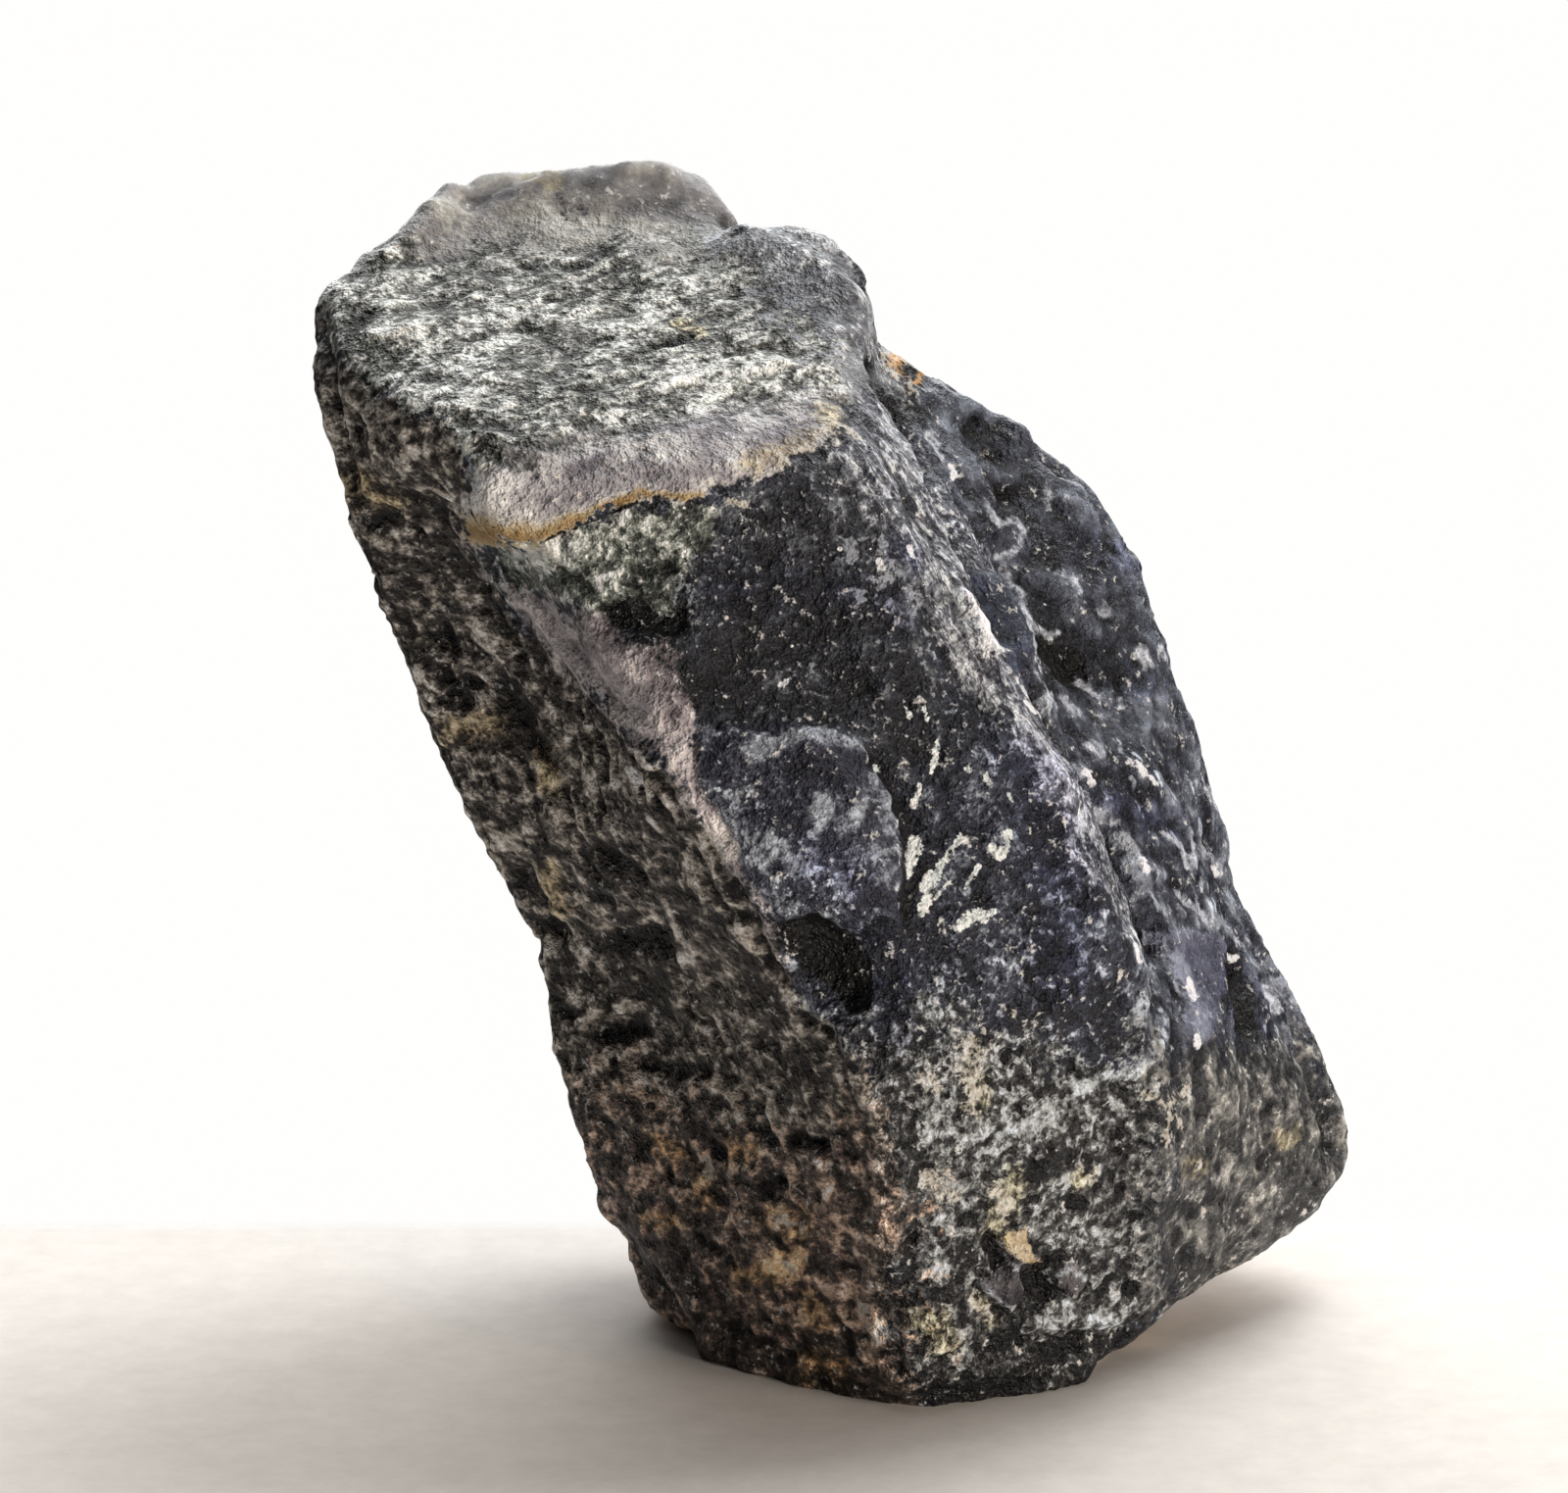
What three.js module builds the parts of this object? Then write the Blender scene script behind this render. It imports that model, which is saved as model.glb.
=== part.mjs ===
// A rough iolite crystal that stands, leaning, on its broken lower end. Millimetres, +Z up. X runs to the
// right and Y away from the viewer who faces the front ridge. The origin is under the middle of the stone.
//
// The stone is one solid. Its form is a distance field: flat-faced blocks, each given by its corners, grown
// into each other, with shell-shaped hollows broken out, thin plates left standing and low lumps over all of
// it. A net is then drawn over the zero level.
import * as THREE from "three";
import { ConvexHull } from "three/addons/math/ConvexHull.js";
import { ImprovedNoise } from "three/addons/math/ImprovedNoise.js";

// Size of one cell of the net, which sets how fine the facets are.
const CELL = 1.6;
// The part of space that the net is drawn in, with some room round the stone.
const REACH = new THREE.Box3(new THREE.Vector3(-29, -21, -3), new THREE.Vector3(31, 25, 62));
// How far worn edges are rounded, and how far the faces stand out to keep the worn corners in their places.
const EDGE_WEAR = 1.2;
const GROWTH = 0.3;
// Height and width of the lumps: broad swells, then smaller knobs.
const SWELL = { height: 0.45, width: 9, offset: 11.3 };
const KNOB = { height: 0.3, width: 4, offset: 37.7 };
// How often the net is evened out on the surface, how often it is then smoothed freely, and how much of its
// place a point keeps each time.
const EVENING_PASSES = 4;
const SMOOTHING_PASSES = 2;
const KEPT_SHARE = 0.5;
// Everything under this height is worn flat, where the stone stands, with what is just above it.
const FOOT_HEIGHT = 0;
const FOOT_WEAR = 0.2;

// The blocks by their corners, each with how softly it joins those before it.
const BLOCKS = [
  // The upper half of the leaning prism.
  {
    join: 1,
    corners: [
      // Rim of the top face, from the left corner round the front to the right and back.
      [-26.3, 1, 51.7], [-24.4, -3, 50.5], [-18.6, -10, 48.8], [-18, -11.6, 46.5], [-17.8, -12, 43.9],
      [0.2, -8.6, 47.2], [1.8, -3, 49.5], [0.5, 2, 52.3], [-2.5, 8, 54.3], [-4, 14, 55.4],
      [-23.5, 12.5, 55.7], [-26.9, 7, 54.1],
      // Front ridge, downwards.
      [-7.1, -15.4, 32.3], [-3.4, -16.8, 26.2], [1.8, -17.6, 18.7],
      // Right ridge, downwards: its inner line, then its outer one.
      [3.6, -9.6, 41.5], [6.6, -10.6, 37.6], [9.2, -11.2, 33.2], [11.6, -11.6, 29.6], [13.6, -11.4, 26.6],
      [15.2, -10.8, 22.5],
      [4.7, -4.5, 45.8], [7.7, -5, 41.7], [10, -5.6, 38.3], [10.6, -6.6, 34.6], [11.9, -8, 31.4],
      // Left edge, downwards.
      [-25.6, 1.5, 46.2], [-24.9, 2, 40.7], [-23.5, 2.5, 36.5], [-21, 3, 30.2], [-18.2, 4, 23.9],
      [-15.4, 5, 19.8],
      // Back.
      [-22, 15, 45], [-16, 18, 28], [-3, 18.6, 50], [2, 19.5, 30], [5, 16, 43], [11, 6, 28], [9.5, 16, 20],
    ],
  },
  // The lower half, down to the foot.
  {
    join: 2.5,
    corners: [
      // Left edge, downwards.
      [-15.3, 5, 20.5], [-15.1, 4, 16.6], [-14.9, 3.5, 13.4], [-13.4, 3, 9.2], [-12.1, 2, 5.2],
      [-10.4, 1, 3.1], [-8.9, -1, 1.4],
      // Front ridge, downwards.
      [1.8, -17.5, 18.7], [3.3, -17.4, 15.2], [3.6, -16.9, 12.5], [3.4, -16.6, 7.9], [3.6, -16.2, 3.5],
      // Right ridge, downwards.
      [15.2, -10.8, 22.3], [16.6, -10.2, 17.2], [16.4, -9, 9.3], [16.1, -5.5, 1.5],
      // Foot.
      [-7.4, -4.8, -1], [4.4, -15.2, -1], [12, -9.4, -1], [16, -3, -1], [14, 8, -1], [4, 12, -1],
      [-6, 10, -1], [-9, 3, -1],
      // Back.
      [-13.5, 12, 16], [-8, 15, 10], [4, 18, 12], [14, 15, 10], [14, 14, 26], [-12, 16.5, 30],
    ],
  },
  // The wing that stands back from the right ridge.
  {
    join: 1.4,
    corners: [
      // Outer edge, downwards.
      [2.2, 8, 50], [5, 9, 47.8], [8.6, 9, 46.3], [10.6, 9, 45.8], [13.1, 9, 43.6], [15.5, 9, 40.5],
      [17.8, 9, 35.4], [19.4, 9, 29.8], [20.3, 9, 24.1], [22.1, 9, 19.4],
      // Floor of the groove beside the right ridge, downwards.
      [3.7, 3, 47.1], [6.8, 2, 40.7], [10.4, 0.5, 33.7], [12, -1.5, 29.5], [15.8, -4, 24], [17.6, -6.5, 19],
      [17.2, -7, 15],
      // Back.
      [0, 16, 50], [8, 18.5, 42], [13, 18.5, 30], [16, 17.5, 16], [9, 17.5, 24],
    ],
  },
  // The lower right corner, clear of the ground.
  {
    join: 2,
    corners: [
      [23.8, 9, 14.2], [26.1, 9, 11.1], [28.6, 8, 7.5], [28.6, 7.5, 5.9], [25.2, 6, 3.4], [20.3, 4, 1],
      [16.2, -1, 0], [16.6, -9.8, 17.6], [16.3, -8.6, 9.3], [16.1, -5.2, 1.5], [22.7, 9, 19.6], [18, 14, 4],
      [22, 15, 9], [20, 16, 16], [12, 0, 22], [12, 8, 10], [13, 15.5, 12], [13, 15.5, 22],
    ],
  },
  // The block that stands up behind the top face.
  {
    join: 1.2,
    corners: [
      [-24, 11.5, 55], [-4.3, 13, 55.2], [-22.3, 14.5, 57.1], [-16.8, 16, 58.6], [-14, 16.5, 59.3],
      [-10.7, 16.5, 60], [-8.7, 16.5, 59.9], [-6.9, 15.5, 59.2], [-5.2, 15.5, 57.6], [-20, 20, 46],
      [-6, 20.5, 44], [-22.5, 13, 46], [-4, 16, 46],
    ],
  },
  // The hump at the right of the top face.
  {
    join: 0.8,
    corners: [
      [-6, 8, 53], [-4.6, 9.5, 57], [-2.4, 9.5, 57.4], [-1, 9, 57.1], [1.5, 7, 55.7], [2.2, 6, 53.8],
      [2.3, 5, 50], [1.9, -2, 48.8], [0.6, 2, 52.5], [-3, 5, 53.8], [-3, 14, 52], [1, 12, 50],
    ],
  },
];

// Thin plates of the crystal left standing on its faces: their outlines on the face, and how far each corner
// lifts off it.
const FRONT = new THREE.Vector3(0.17, -0.93, 0.32).normalize();
const PLATES = [
  // The big plate in the middle of the front face.
  {
    outward: FRONT,
    outline: [
      { at: [-6.4, -13.9, 34.4], lift: 0.5 }, { at: [-1.4, -13.1, 34.8], lift: 0.8 },
      { at: [1.1, -12.8, 33.9], lift: 1 }, { at: [2.6, -13.2, 31.5], lift: 1.3 },
      { at: [3.3, -14.4, 27.5], lift: 1.4 }, { at: [2.2, -15.3, 25.7], lift: 1.4 },
      { at: [-2.6, -16.4, 25.7], lift: 0.7 }, { at: [-4.6, -15.7, 28.3], lift: 0.4 },
      { at: [-5.8, -14.9, 31], lift: 0.4 },
    ],
  },
  // The pale plate along the front edge of the top face, which overhangs what is under it.
  {
    outward: FRONT,
    outline: [
      { at: [-17.2, -11.4, 46], lift: 0 }, { at: [-8.5, -10, 47], lift: 0.2 },
      { at: [-4, -9.5, 47], lift: 0 }, { at: [-8.2, -10.6, 45.6], lift: 0.4 },
      { at: [-13.5, -11.5, 44], lift: 0.4 }, { at: [-16.8, -11.9, 43.7], lift: 0 },
    ],
  },
];
const PLATE_ROOT = 2.5;
const PLATE_JOIN = 0.3;

// Shell-shaped hollows: the middle of each on the face, the way out of it, its rim's radius and its depth.
const RIGHT = new THREE.Vector3(0.62, -0.6, 0.5).normalize();
const LEFT = new THREE.Vector3(-0.72, -0.69, -0.05).normalize();
const BACK = new THREE.Vector3(0, 1, 0.1).normalize();
const HOLLOWS = [
  // Front face: below the big plate, above it, and under the pale plate.
  { at: [-0.2, -16.6, 23], outward: FRONT, radius: 3.6, depth: 1.5 },
  { at: [-2.2, -11.9, 39], outward: FRONT, radius: 6, depth: 0.9 },
  { at: [-10, -12.3, 41.4], outward: FRONT, radius: 3.2, depth: 0.7 },
  // Wing, downwards.
  { at: [7.7, 6.9, 46], outward: RIGHT, radius: 1.8, depth: 1 },
  { at: [9.3, 1.9, 39.4], outward: RIGHT, radius: 2.8, depth: 1 },
  { at: [13.6, 1.6, 33.6], outward: RIGHT, radius: 3.2, depth: 1.3 },
  { at: [15.6, -2.6, 26], outward: RIGHT, radius: 2.4, depth: 0.9 },
  { at: [20.6, -0.6, 18.6], outward: RIGHT, radius: 2.6, depth: 0.8 },
  // Left face.
  { at: [-16, -2.6, 31], outward: LEFT, radius: 6, depth: 0.7 },
  { at: [-9.6, -2.4, 16.2], outward: LEFT, radius: 3.4, depth: 0.8 },
  // Back.
  { at: [-12, 19, 42], outward: BACK, radius: 8, depth: 2 },
  { at: [8, 18.6, 36], outward: BACK, radius: 6.5, depth: 1.6 },
  { at: [-2, 18.4, 24], outward: BACK, radius: 7, depth: 2 },
  { at: [9, 16.2, 12], outward: BACK, radius: 5, depth: 1.3 },
];
const HOLLOW_RIM_WEAR = 0.4;

const vector = ([x, y, z]) => new THREE.Vector3(x, y, z);

function softMax(a, b, softness) {
  const h = Math.max(softness - Math.abs(a - b), 0) / softness;
  return Math.max(a, b) + (h * h * softness) / 4;
}

function softMin(a, b, softness) {
  return -softMax(-a, -b, softness);
}

// Distance to a flat-faced block, from the planes of its hull. Inside is negative.
function blockField(points, wear) {
  const hull = new ConvexHull().setFromPoints(points);
  const planes = [];
  for (const { normal, constant } of hull.faces) {
    const same = (plane) => plane.normal.dot(normal) > 0.9995 && Math.abs(plane.constant - constant) < 0.05;
    if (!planes.some(same)) planes.push({ normal: normal.clone(), constant });
  }
  return (p) => {
    const distances = planes.map(({ normal, constant }) => normal.dot(p) - constant);
    return distances.reduce((a, b) => softMax(a, b, wear));
  };
}

// A plate as a block: its lifted outline, and the same outline sunk into the stone.
function plateField({ outward, outline }) {
  const lifted = outline.map(({ at, lift }) => vector(at).addScaledVector(outward, lift));
  const sunk = outline.map(({ at }) => vector(at).addScaledVector(outward, -PLATE_ROOT));
  return blockField([...lifted, ...sunk], PLATE_JOIN);
}

// Distance to the ball that a hollow is a cap of.
function hollowField({ at, outward, radius, depth }) {
  const ballRadius = (radius ** 2 + depth ** 2) / (2 * depth);
  const middle = vector(at).addScaledVector(outward, ballRadius - depth);
  return (p) => p.distanceTo(middle) - ballRadius;
}

const noise = new ImprovedNoise();

function lumps(p, { height, width, offset }) {
  return height * noise.noise(p.x / width + offset, p.y / width + offset, p.z / width + offset);
}

const blockFields = BLOCKS.map(({ corners }) => blockField(corners.map(vector), EDGE_WEAR));
const plateFields = PLATES.map(plateField);
const hollowFields = HOLLOWS.map(hollowField);

// Distance from a point to the stone's surface. Inside is negative.
function stoneField(p) {
  const blockDistances = blockFields.map((field) => field(p));
  let d = blockDistances.reduce((before, here, n) => softMin(before, here, BLOCKS[n].join));
  for (const hollow of hollowFields) d = softMax(d, -hollow(p), HOLLOW_RIM_WEAR);
  for (const plate of plateFields) d = softMin(d, plate(p), PLATE_JOIN);
  d -= GROWTH + lumps(p, SWELL) + lumps(p, KNOB);
  return Math.max(d, FOOT_HEIGHT - p.z);
}

// Moves a point along the field's slope until it lies on the surface, by at most half a cell.
function ontoSurface(field, start, cell) {
  const p = start.clone();
  const h = 0.05;
  for (let step = 0; step < 4; step++) {
    const d = field(p);
    const slope = new THREE.Vector3(
      field(new THREE.Vector3(p.x + h, p.y, p.z)) - d,
      field(new THREE.Vector3(p.x, p.y + h, p.z)) - d,
      field(new THREE.Vector3(p.x, p.y, p.z + h)) - d,
    ).divideScalar(h);
    p.addScaledVector(slope, -d / Math.max(slope.lengthSq(), 0.2));
  }
  const move = p.sub(start);
  return move.clampLength(0, cell / 2).add(start);
}

// The corners of a box of cells, counted from the lowest, with the field's value at each.
class Grid {
  constructor(field, box, cell) {
    const cells = box.getSize(new THREE.Vector3()).divideScalar(cell).ceil();
    this.low = box.min;
    this.cell = cell;
    this.counts = [cells.x + 1, cells.y + 1, cells.z + 1];
    this.values = new Map();
    this.each(0, (place) => this.values.set(this.key(place), field(this.corner(place))));
  }

  key([i, j, k]) {
    return i + this.counts[0] * (j + this.counts[1] * k);
  }

  corner([i, j, k]) {
    return new THREE.Vector3(i, j, k).multiplyScalar(this.cell).add(this.low);
  }

  value(place) {
    return this.values.get(this.key(place));
  }

  inside(place) {
    return this.value(place) < 0;
  }

  // Calls a function for each corner that is at least the margin away from the last of its row.
  each(margin, call) {
    const [nx, ny, nz] = this.counts.map((count) => count - margin);
    for (let n = 0; n < nx * ny * nz; n++) {
      call([n % nx, Math.floor(n / nx) % ny, Math.floor(n / (nx * ny))]);
    }
  }
}

// One step along each axis of the grid, and the corners of a square in order.
const STEPS = [[1, 0, 0], [0, 1, 0], [0, 0, 1]];
const SQUARE = [[0, 0], [1, 0], [1, 1], [0, 1]];
const moved = (place, step, times = 1) => place.map((count, axis) => count + step[axis] * times);

// The corners round each of a cell's six faces, in order.
function facesOf(place) {
  return STEPS.flatMap((step, axis) => {
    const [across, up] = [STEPS[(axis + 1) % 3], STEPS[(axis + 2) % 3]];
    const near = SQUARE.map(([s, t]) => moved(moved(place, across, s), up, t));
    return [near, near.map((corner) => moved(corner, step))];
  });
}

function edgeName(grid, one, other) {
  const keys = [grid.key(one), grid.key(other)];
  return `${Math.min(...keys)} to ${Math.max(...keys)}`;
}

// The sheets of the surface in one cell, each as the ends of the cell's edges that it crosses, by the edges'
// names. Edges of one face belong together where only two are crossed, or where they meet at a corner inside
// the stone.
function sheetsIn(grid, place) {
  const faces = facesOf(place);
  const insideCorners = [...faces[0], ...faces[1]].filter((corner) => grid.inside(corner)).length;
  if (insideCorners === 0 || insideCorners === 8) return [];
  const sheets = new Map();
  const sheetWith = ({ name, ends }) => sheets.get(name) ?? [[name, ends]];
  const join = (one, other) => {
    const sheet = new Map([...sheetWith(one), ...sheetWith(other)]);
    for (const name of sheet.keys()) sheets.set(name, sheet);
  };
  for (const face of faces) {
    const edges = face.map((corner, n) => {
      const ends = [corner, face[(n + 1) % 4]];
      return { ends, name: edgeName(grid, ...ends) };
    });
    const crossed = edges.filter(({ ends }) => grid.inside(ends[0]) !== grid.inside(ends[1]));
    if (crossed.length === 2) join(...crossed);
    if (crossed.length < 4) continue;
    for (const n of face.keys()) {
      if (grid.inside(face[n])) join(edges[n], edges[(n + 3) % 4]);
    }
  }
  return [...new Set(sheets.values())];
}

// The mean of the places where a sheet crosses a cell's edges.
function sheetMiddle(grid, sheet) {
  const sum = new THREE.Vector3();
  for (const [one, other] of sheet.values()) {
    const share = grid.value(one) / (grid.value(one) - grid.value(other));
    sum.add(grid.corner(one).lerp(grid.corner(other), share));
  }
  return sum.divideScalar(sheet.size);
}

// Two triangles, divided along the quad's shorter diagonal.
function splitQuad([a, b, c, d], points) {
  const acrossFirst = points[a].distanceTo(points[c]) < points[b].distanceTo(points[d]);
  return acrossFirst ? [[a, b, c], [a, c, d]] : [[a, b, d], [b, c, d]];
}

// A closed net over the zero level of a field: one point for each sheet of the surface in each cell, and one
// quad, split into triangles, for each edge of the grid that the surface crosses.
function netOver(field, box, cell) {
  const grid = new Grid(field, box, cell);
  const points = [];
  const pointAt = new Map();
  grid.each(1, (place) => {
    for (const sheet of sheetsIn(grid, place)) {
      for (const edge of sheet.keys()) pointAt.set(`${edge} in ${grid.key(place)}`, points.length);
      points.push(ontoSurface(field, sheetMiddle(grid, sheet), cell));
    }
  });
  const triangles = [];
  grid.each(1, (place) => {
    for (const [axis, step] of STEPS.entries()) {
      if (grid.inside(place) === grid.inside(moved(place, step))) continue;
      const [across, up] = [STEPS[(axis + 1) % 3], STEPS[(axis + 2) % 3]];
      const cells = SQUARE.map(([s, t]) => moved(moved(place, across, -s), up, -t));
      const edge = edgeName(grid, place, moved(place, step));
      const quad = cells.map((cellPlace) => pointAt.get(`${edge} in ${grid.key(cellPlace)}`));
      if (!grid.inside(place)) quad.reverse();
      triangles.push(...splitQuad(quad, points));
    }
  });
  return { points: evened(points, triangles, field, cell), triangles };
}

// Evens a net out on its surface, and then takes the teeth off its edges.
function evened(points, triangles, field, cell) {
  const neighbours = neighboursIn(points, triangles);
  let current = points;
  for (let pass = 0; pass < EVENING_PASSES; pass++) {
    current = smoothed(current, neighbours).map((point) => ontoSurface(field, point, cell));
  }
  for (let pass = 0; pass < SMOOTHING_PASSES; pass++) current = smoothed(current, neighbours);
  return current;
}

// For each point, the points that it shares an edge with.
function neighboursIn(points, triangles) {
  const neighbours = points.map(() => new Set());
  for (const [a, b, c] of triangles) {
    neighbours[a].add(b);
    neighbours[b].add(c);
    neighbours[c].add(a);
  }
  return neighbours;
}

// Moves each point part of the way to the middle of its neighbours.
function smoothed(points, neighbours) {
  return points.map((point, n) => {
    const middle = new THREE.Vector3();
    for (const other of neighbours[n]) middle.add(points[other]);
    return middle.divideScalar(neighbours[n].size).lerp(point, KEPT_SHARE);
  });
}

// The stone's faceted surface, with its foot worn quite flat and the origin under its middle.
function stoneGeometry() {
  const { points, triangles } = netOver(stoneField, REACH, CELL);
  for (const point of points) {
    if (point.z < FOOT_HEIGHT + FOOT_WEAR) point.z = FOOT_HEIGHT;
  }
  const geometry = new THREE.BufferGeometry().setFromPoints(points);
  geometry.setIndex(triangles.flat());
  geometry.computeBoundingBox();
  const middle = geometry.boundingBox.getCenter(new THREE.Vector3());
  return geometry.translate(-middle.x, -middle.y, -FOOT_HEIGHT);
}

const STONE = new THREE.MeshStandardMaterial({ color: 0x4a474d, roughness: 0.75, metalness: 0.0 });

const crystal = new THREE.Mesh(stoneGeometry(), STONE);
crystal.name = "crystal";

const stone = new THREE.Group();
stone.add(crystal);

export default stone;
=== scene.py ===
import math

import bpy
import numpy as np
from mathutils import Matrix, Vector
from mathutils.bvhtree import BVHTree


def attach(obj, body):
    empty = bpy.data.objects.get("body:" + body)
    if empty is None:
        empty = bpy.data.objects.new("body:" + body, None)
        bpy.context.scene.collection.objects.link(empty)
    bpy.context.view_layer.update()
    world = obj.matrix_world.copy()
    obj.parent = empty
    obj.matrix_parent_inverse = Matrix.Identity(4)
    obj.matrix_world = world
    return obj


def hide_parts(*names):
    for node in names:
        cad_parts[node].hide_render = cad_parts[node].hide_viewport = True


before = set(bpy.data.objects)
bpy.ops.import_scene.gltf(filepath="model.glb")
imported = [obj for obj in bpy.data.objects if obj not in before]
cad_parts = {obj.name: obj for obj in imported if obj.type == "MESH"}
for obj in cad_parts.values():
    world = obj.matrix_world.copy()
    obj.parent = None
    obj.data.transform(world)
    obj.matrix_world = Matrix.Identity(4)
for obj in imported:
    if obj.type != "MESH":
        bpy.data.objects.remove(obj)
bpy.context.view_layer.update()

# Lengths below are in millimetres, and become metres only in the objects.
MM = 0.001

# The photograph's frame, and the camera that sees the stone as it does.
PHOTO_WIDTH = 1600
PHOTO_HEIGHT = 1523
PIXELS_PER_MM = 20
SENSOR_WIDTH = 36
LENS = 150
FOCAL_PIXELS = LENS / SENSOR_WIDTH * PHOTO_WIDTH
ELEVATION = math.radians(13)
DISTANCE = FOCAL_PIXELS / PIXELS_PER_MM
AIM = np.array([-2.8, -1.07, 30.8])
AWAY = np.array([0, math.cos(ELEVATION), -math.sin(ELEVATION)])
UPWARD = np.array([0, math.sin(ELEVATION), math.cos(ELEVATION)])
SIDEWAYS = np.array([1.0, 0, 0])
EYE = AIM - DISTANCE * AWAY

# The fine surface: the longest edge of a triangle where small marks lie, on the rest of the side that the
# photograph shows, and elsewhere, and a coarser one that is rounded first.
MARKED_EDGE = 0.22
SEEN_EDGE = 0.38
UNSEEN_EDGE = 0.85
COARSE_EDGE = 1.2

# How far over the surface a line of sight starts.
LIFT = 0.05

# How often a pixel just beside the stone is moved to the nearest place on it.
NEAREST_ROUNDS = 6


def photo_pixels(points):
    """The columns and rows of the photograph where points in millimetres are seen."""
    ahead = points - EYE
    depth = ahead @ AWAY
    across = PHOTO_WIDTH / 2 + FOCAL_PIXELS * (ahead @ SIDEWAYS) / depth
    down = PHOTO_HEIGHT / 2 - FOCAL_PIXELS * (ahead @ UPWARD) / depth
    return across, down


def sight_line(pixel):
    """The direction from the camera through a pixel of the photograph."""
    across, down = pixel
    way = AWAY * FOCAL_PIXELS + SIDEWAYS * (across - PHOTO_WIDTH / 2) + UPWARD * (PHOTO_HEIGHT / 2 - down)
    return way / np.linalg.norm(way)


def soft_step(low, high, value):
    share = np.clip((value - low) / (high - low), 0, 1)
    return share * share * (3 - 2 * share)


def unit(vector):
    vector = np.asarray(vector, float)
    return vector / np.linalg.norm(vector)


# Noise that depends on nothing but the place and a seed.
GRADIENTS = np.array(
    [[x, y, 0] for x in (-1, 1) for y in (-1, 1)]
    + [[x, 0, z] for x in (-1, 1) for z in (-1, 1)]
    + [[0, y, z] for y in (-1, 1) for z in (-1, 1)]
    + [[1, 1, 0], [-1, 1, 0], [0, -1, 1], [0, -1, -1]],
    float,
)
MIXERS = [np.uint32(n) for n in (374761393, 668265263, 2246822519, 3266489917, 1274126177)]


def scrambled(cells, seed):
    """A whole number for each lattice cell that looks random."""
    whole = cells.astype(np.int64).astype(np.uint32)
    mixed = whole[:, 0] * MIXERS[0] + whole[:, 1] * MIXERS[1] + whole[:, 2] * MIXERS[2]
    mixed = mixed + np.uint32(seed * int(MIXERS[3]) % 2**32)
    mixed = (mixed ^ (mixed >> np.uint32(13))) * MIXERS[4]
    mixed = (mixed ^ (mixed >> np.uint32(15))) * MIXERS[1]
    return mixed ^ (mixed >> np.uint32(16))


def noise(points, seed):
    """Smooth noise from about -1 to 1, with a lattice of 1."""
    low = np.floor(points)
    inner = points - low
    eased = inner * inner * inner * (inner * (inner * 6 - 15) + 10)
    total = np.zeros(len(points))
    for corner in np.ndindex(2, 2, 2):
        offset = np.array(corner, float)
        slopes = GRADIENTS[scrambled(low + offset, seed) & np.uint32(15)]
        weight = np.prod(np.where(offset > 0, eased, 1 - eased), axis=1)
        total += weight * np.einsum("ij,ij->i", slopes, inner - offset)
    return total


def fractal(points, size, seed, octaves=4, roughness=0.5):
    """Layers of noise, the broadest of the given size, each finer one weaker by the roughness."""
    total = np.zeros(len(points))
    strength = 1.0
    for octave in range(octaves):
        total += strength * noise(points * (2**octave / size), seed + octave)
        strength *= roughness
    return total


# How steeply crests fall away.
RIDGE_SLOPE = 2.2


def ridged(points, size, seed, octaves=3, roughness=0.55):
    """Sharp crests, from about 0 in the troughs to 1 on the crests."""
    total = np.zeros(len(points))
    strength = 1.0
    whole = 0.0
    for octave in range(octaves):
        layer = np.abs(noise(points * (2**octave / size), seed + octave))
        total += strength * (1 - np.minimum(1, RIDGE_SLOPE * layer))
        whole += strength
        strength *= roughness
    return total / whole


def cells(points, size, seed):
    """Distance to the nearest scattered point, in sizes, and a number from 0 to 1 for which point it is."""
    scaled = points / size
    low = np.floor(scaled)
    nearest = np.full(len(points), 9.0)
    which = np.zeros(len(points))
    for step in np.ndindex(3, 3, 3):
        cell = low + np.array(step, float) - 1
        draws = [scrambled(cell, seed + k) / 2**32 for k in range(4)]
        gap = np.linalg.norm(cell + np.stack(draws[:3], axis=1) - scaled, axis=1)
        closer = gap < nearest
        nearest = np.where(closer, gap, nearest)
        which = np.where(closer, draws[3], which)
    return nearest, which


def flakes(points, size, seed, slope):
    """Flat flakes, each at its own height and tilt: the height, and a number from -1 to 1 for each flake."""
    scaled = points / size
    low = np.floor(scaled)
    nearest = np.full(len(points), 9.0)
    height = np.zeros(len(points))
    which = np.zeros(len(points))
    for step in np.ndindex(3, 3, 3):
        cell = low + np.array(step, float) - 1
        draws = [scrambled(cell, seed + k) / 2**31 - 1 for k in range(7)]
        gap = scaled - (cell + 0.5 + 0.5 * np.stack(draws[:3], axis=1))
        away = np.linalg.norm(gap, axis=1)
        closer = away < nearest
        tilted = draws[3] + slope * np.einsum("ij,ij->i", gap, np.stack(draws[4:7], axis=1))
        nearest = np.where(closer, away, nearest)
        height = np.where(closer, tilted, height)
        which = np.where(closer, draws[3], which)
    return height, which


def along_grain(points, direction, stretch):
    """The points squeezed along a direction, so that noise made there comes out drawn out along it."""
    direction = unit(direction)
    lengthways = points @ direction
    return points + np.outer(lengthways * (1 / stretch - 1), direction)


def sides_of(faces):
    """The two points of each side of each triangle, the lower number first."""
    return np.sort(np.stack([faces[:, [0, 1]], faces[:, [1, 2]], faces[:, [2, 0]]], axis=1), axis=2)


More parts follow.
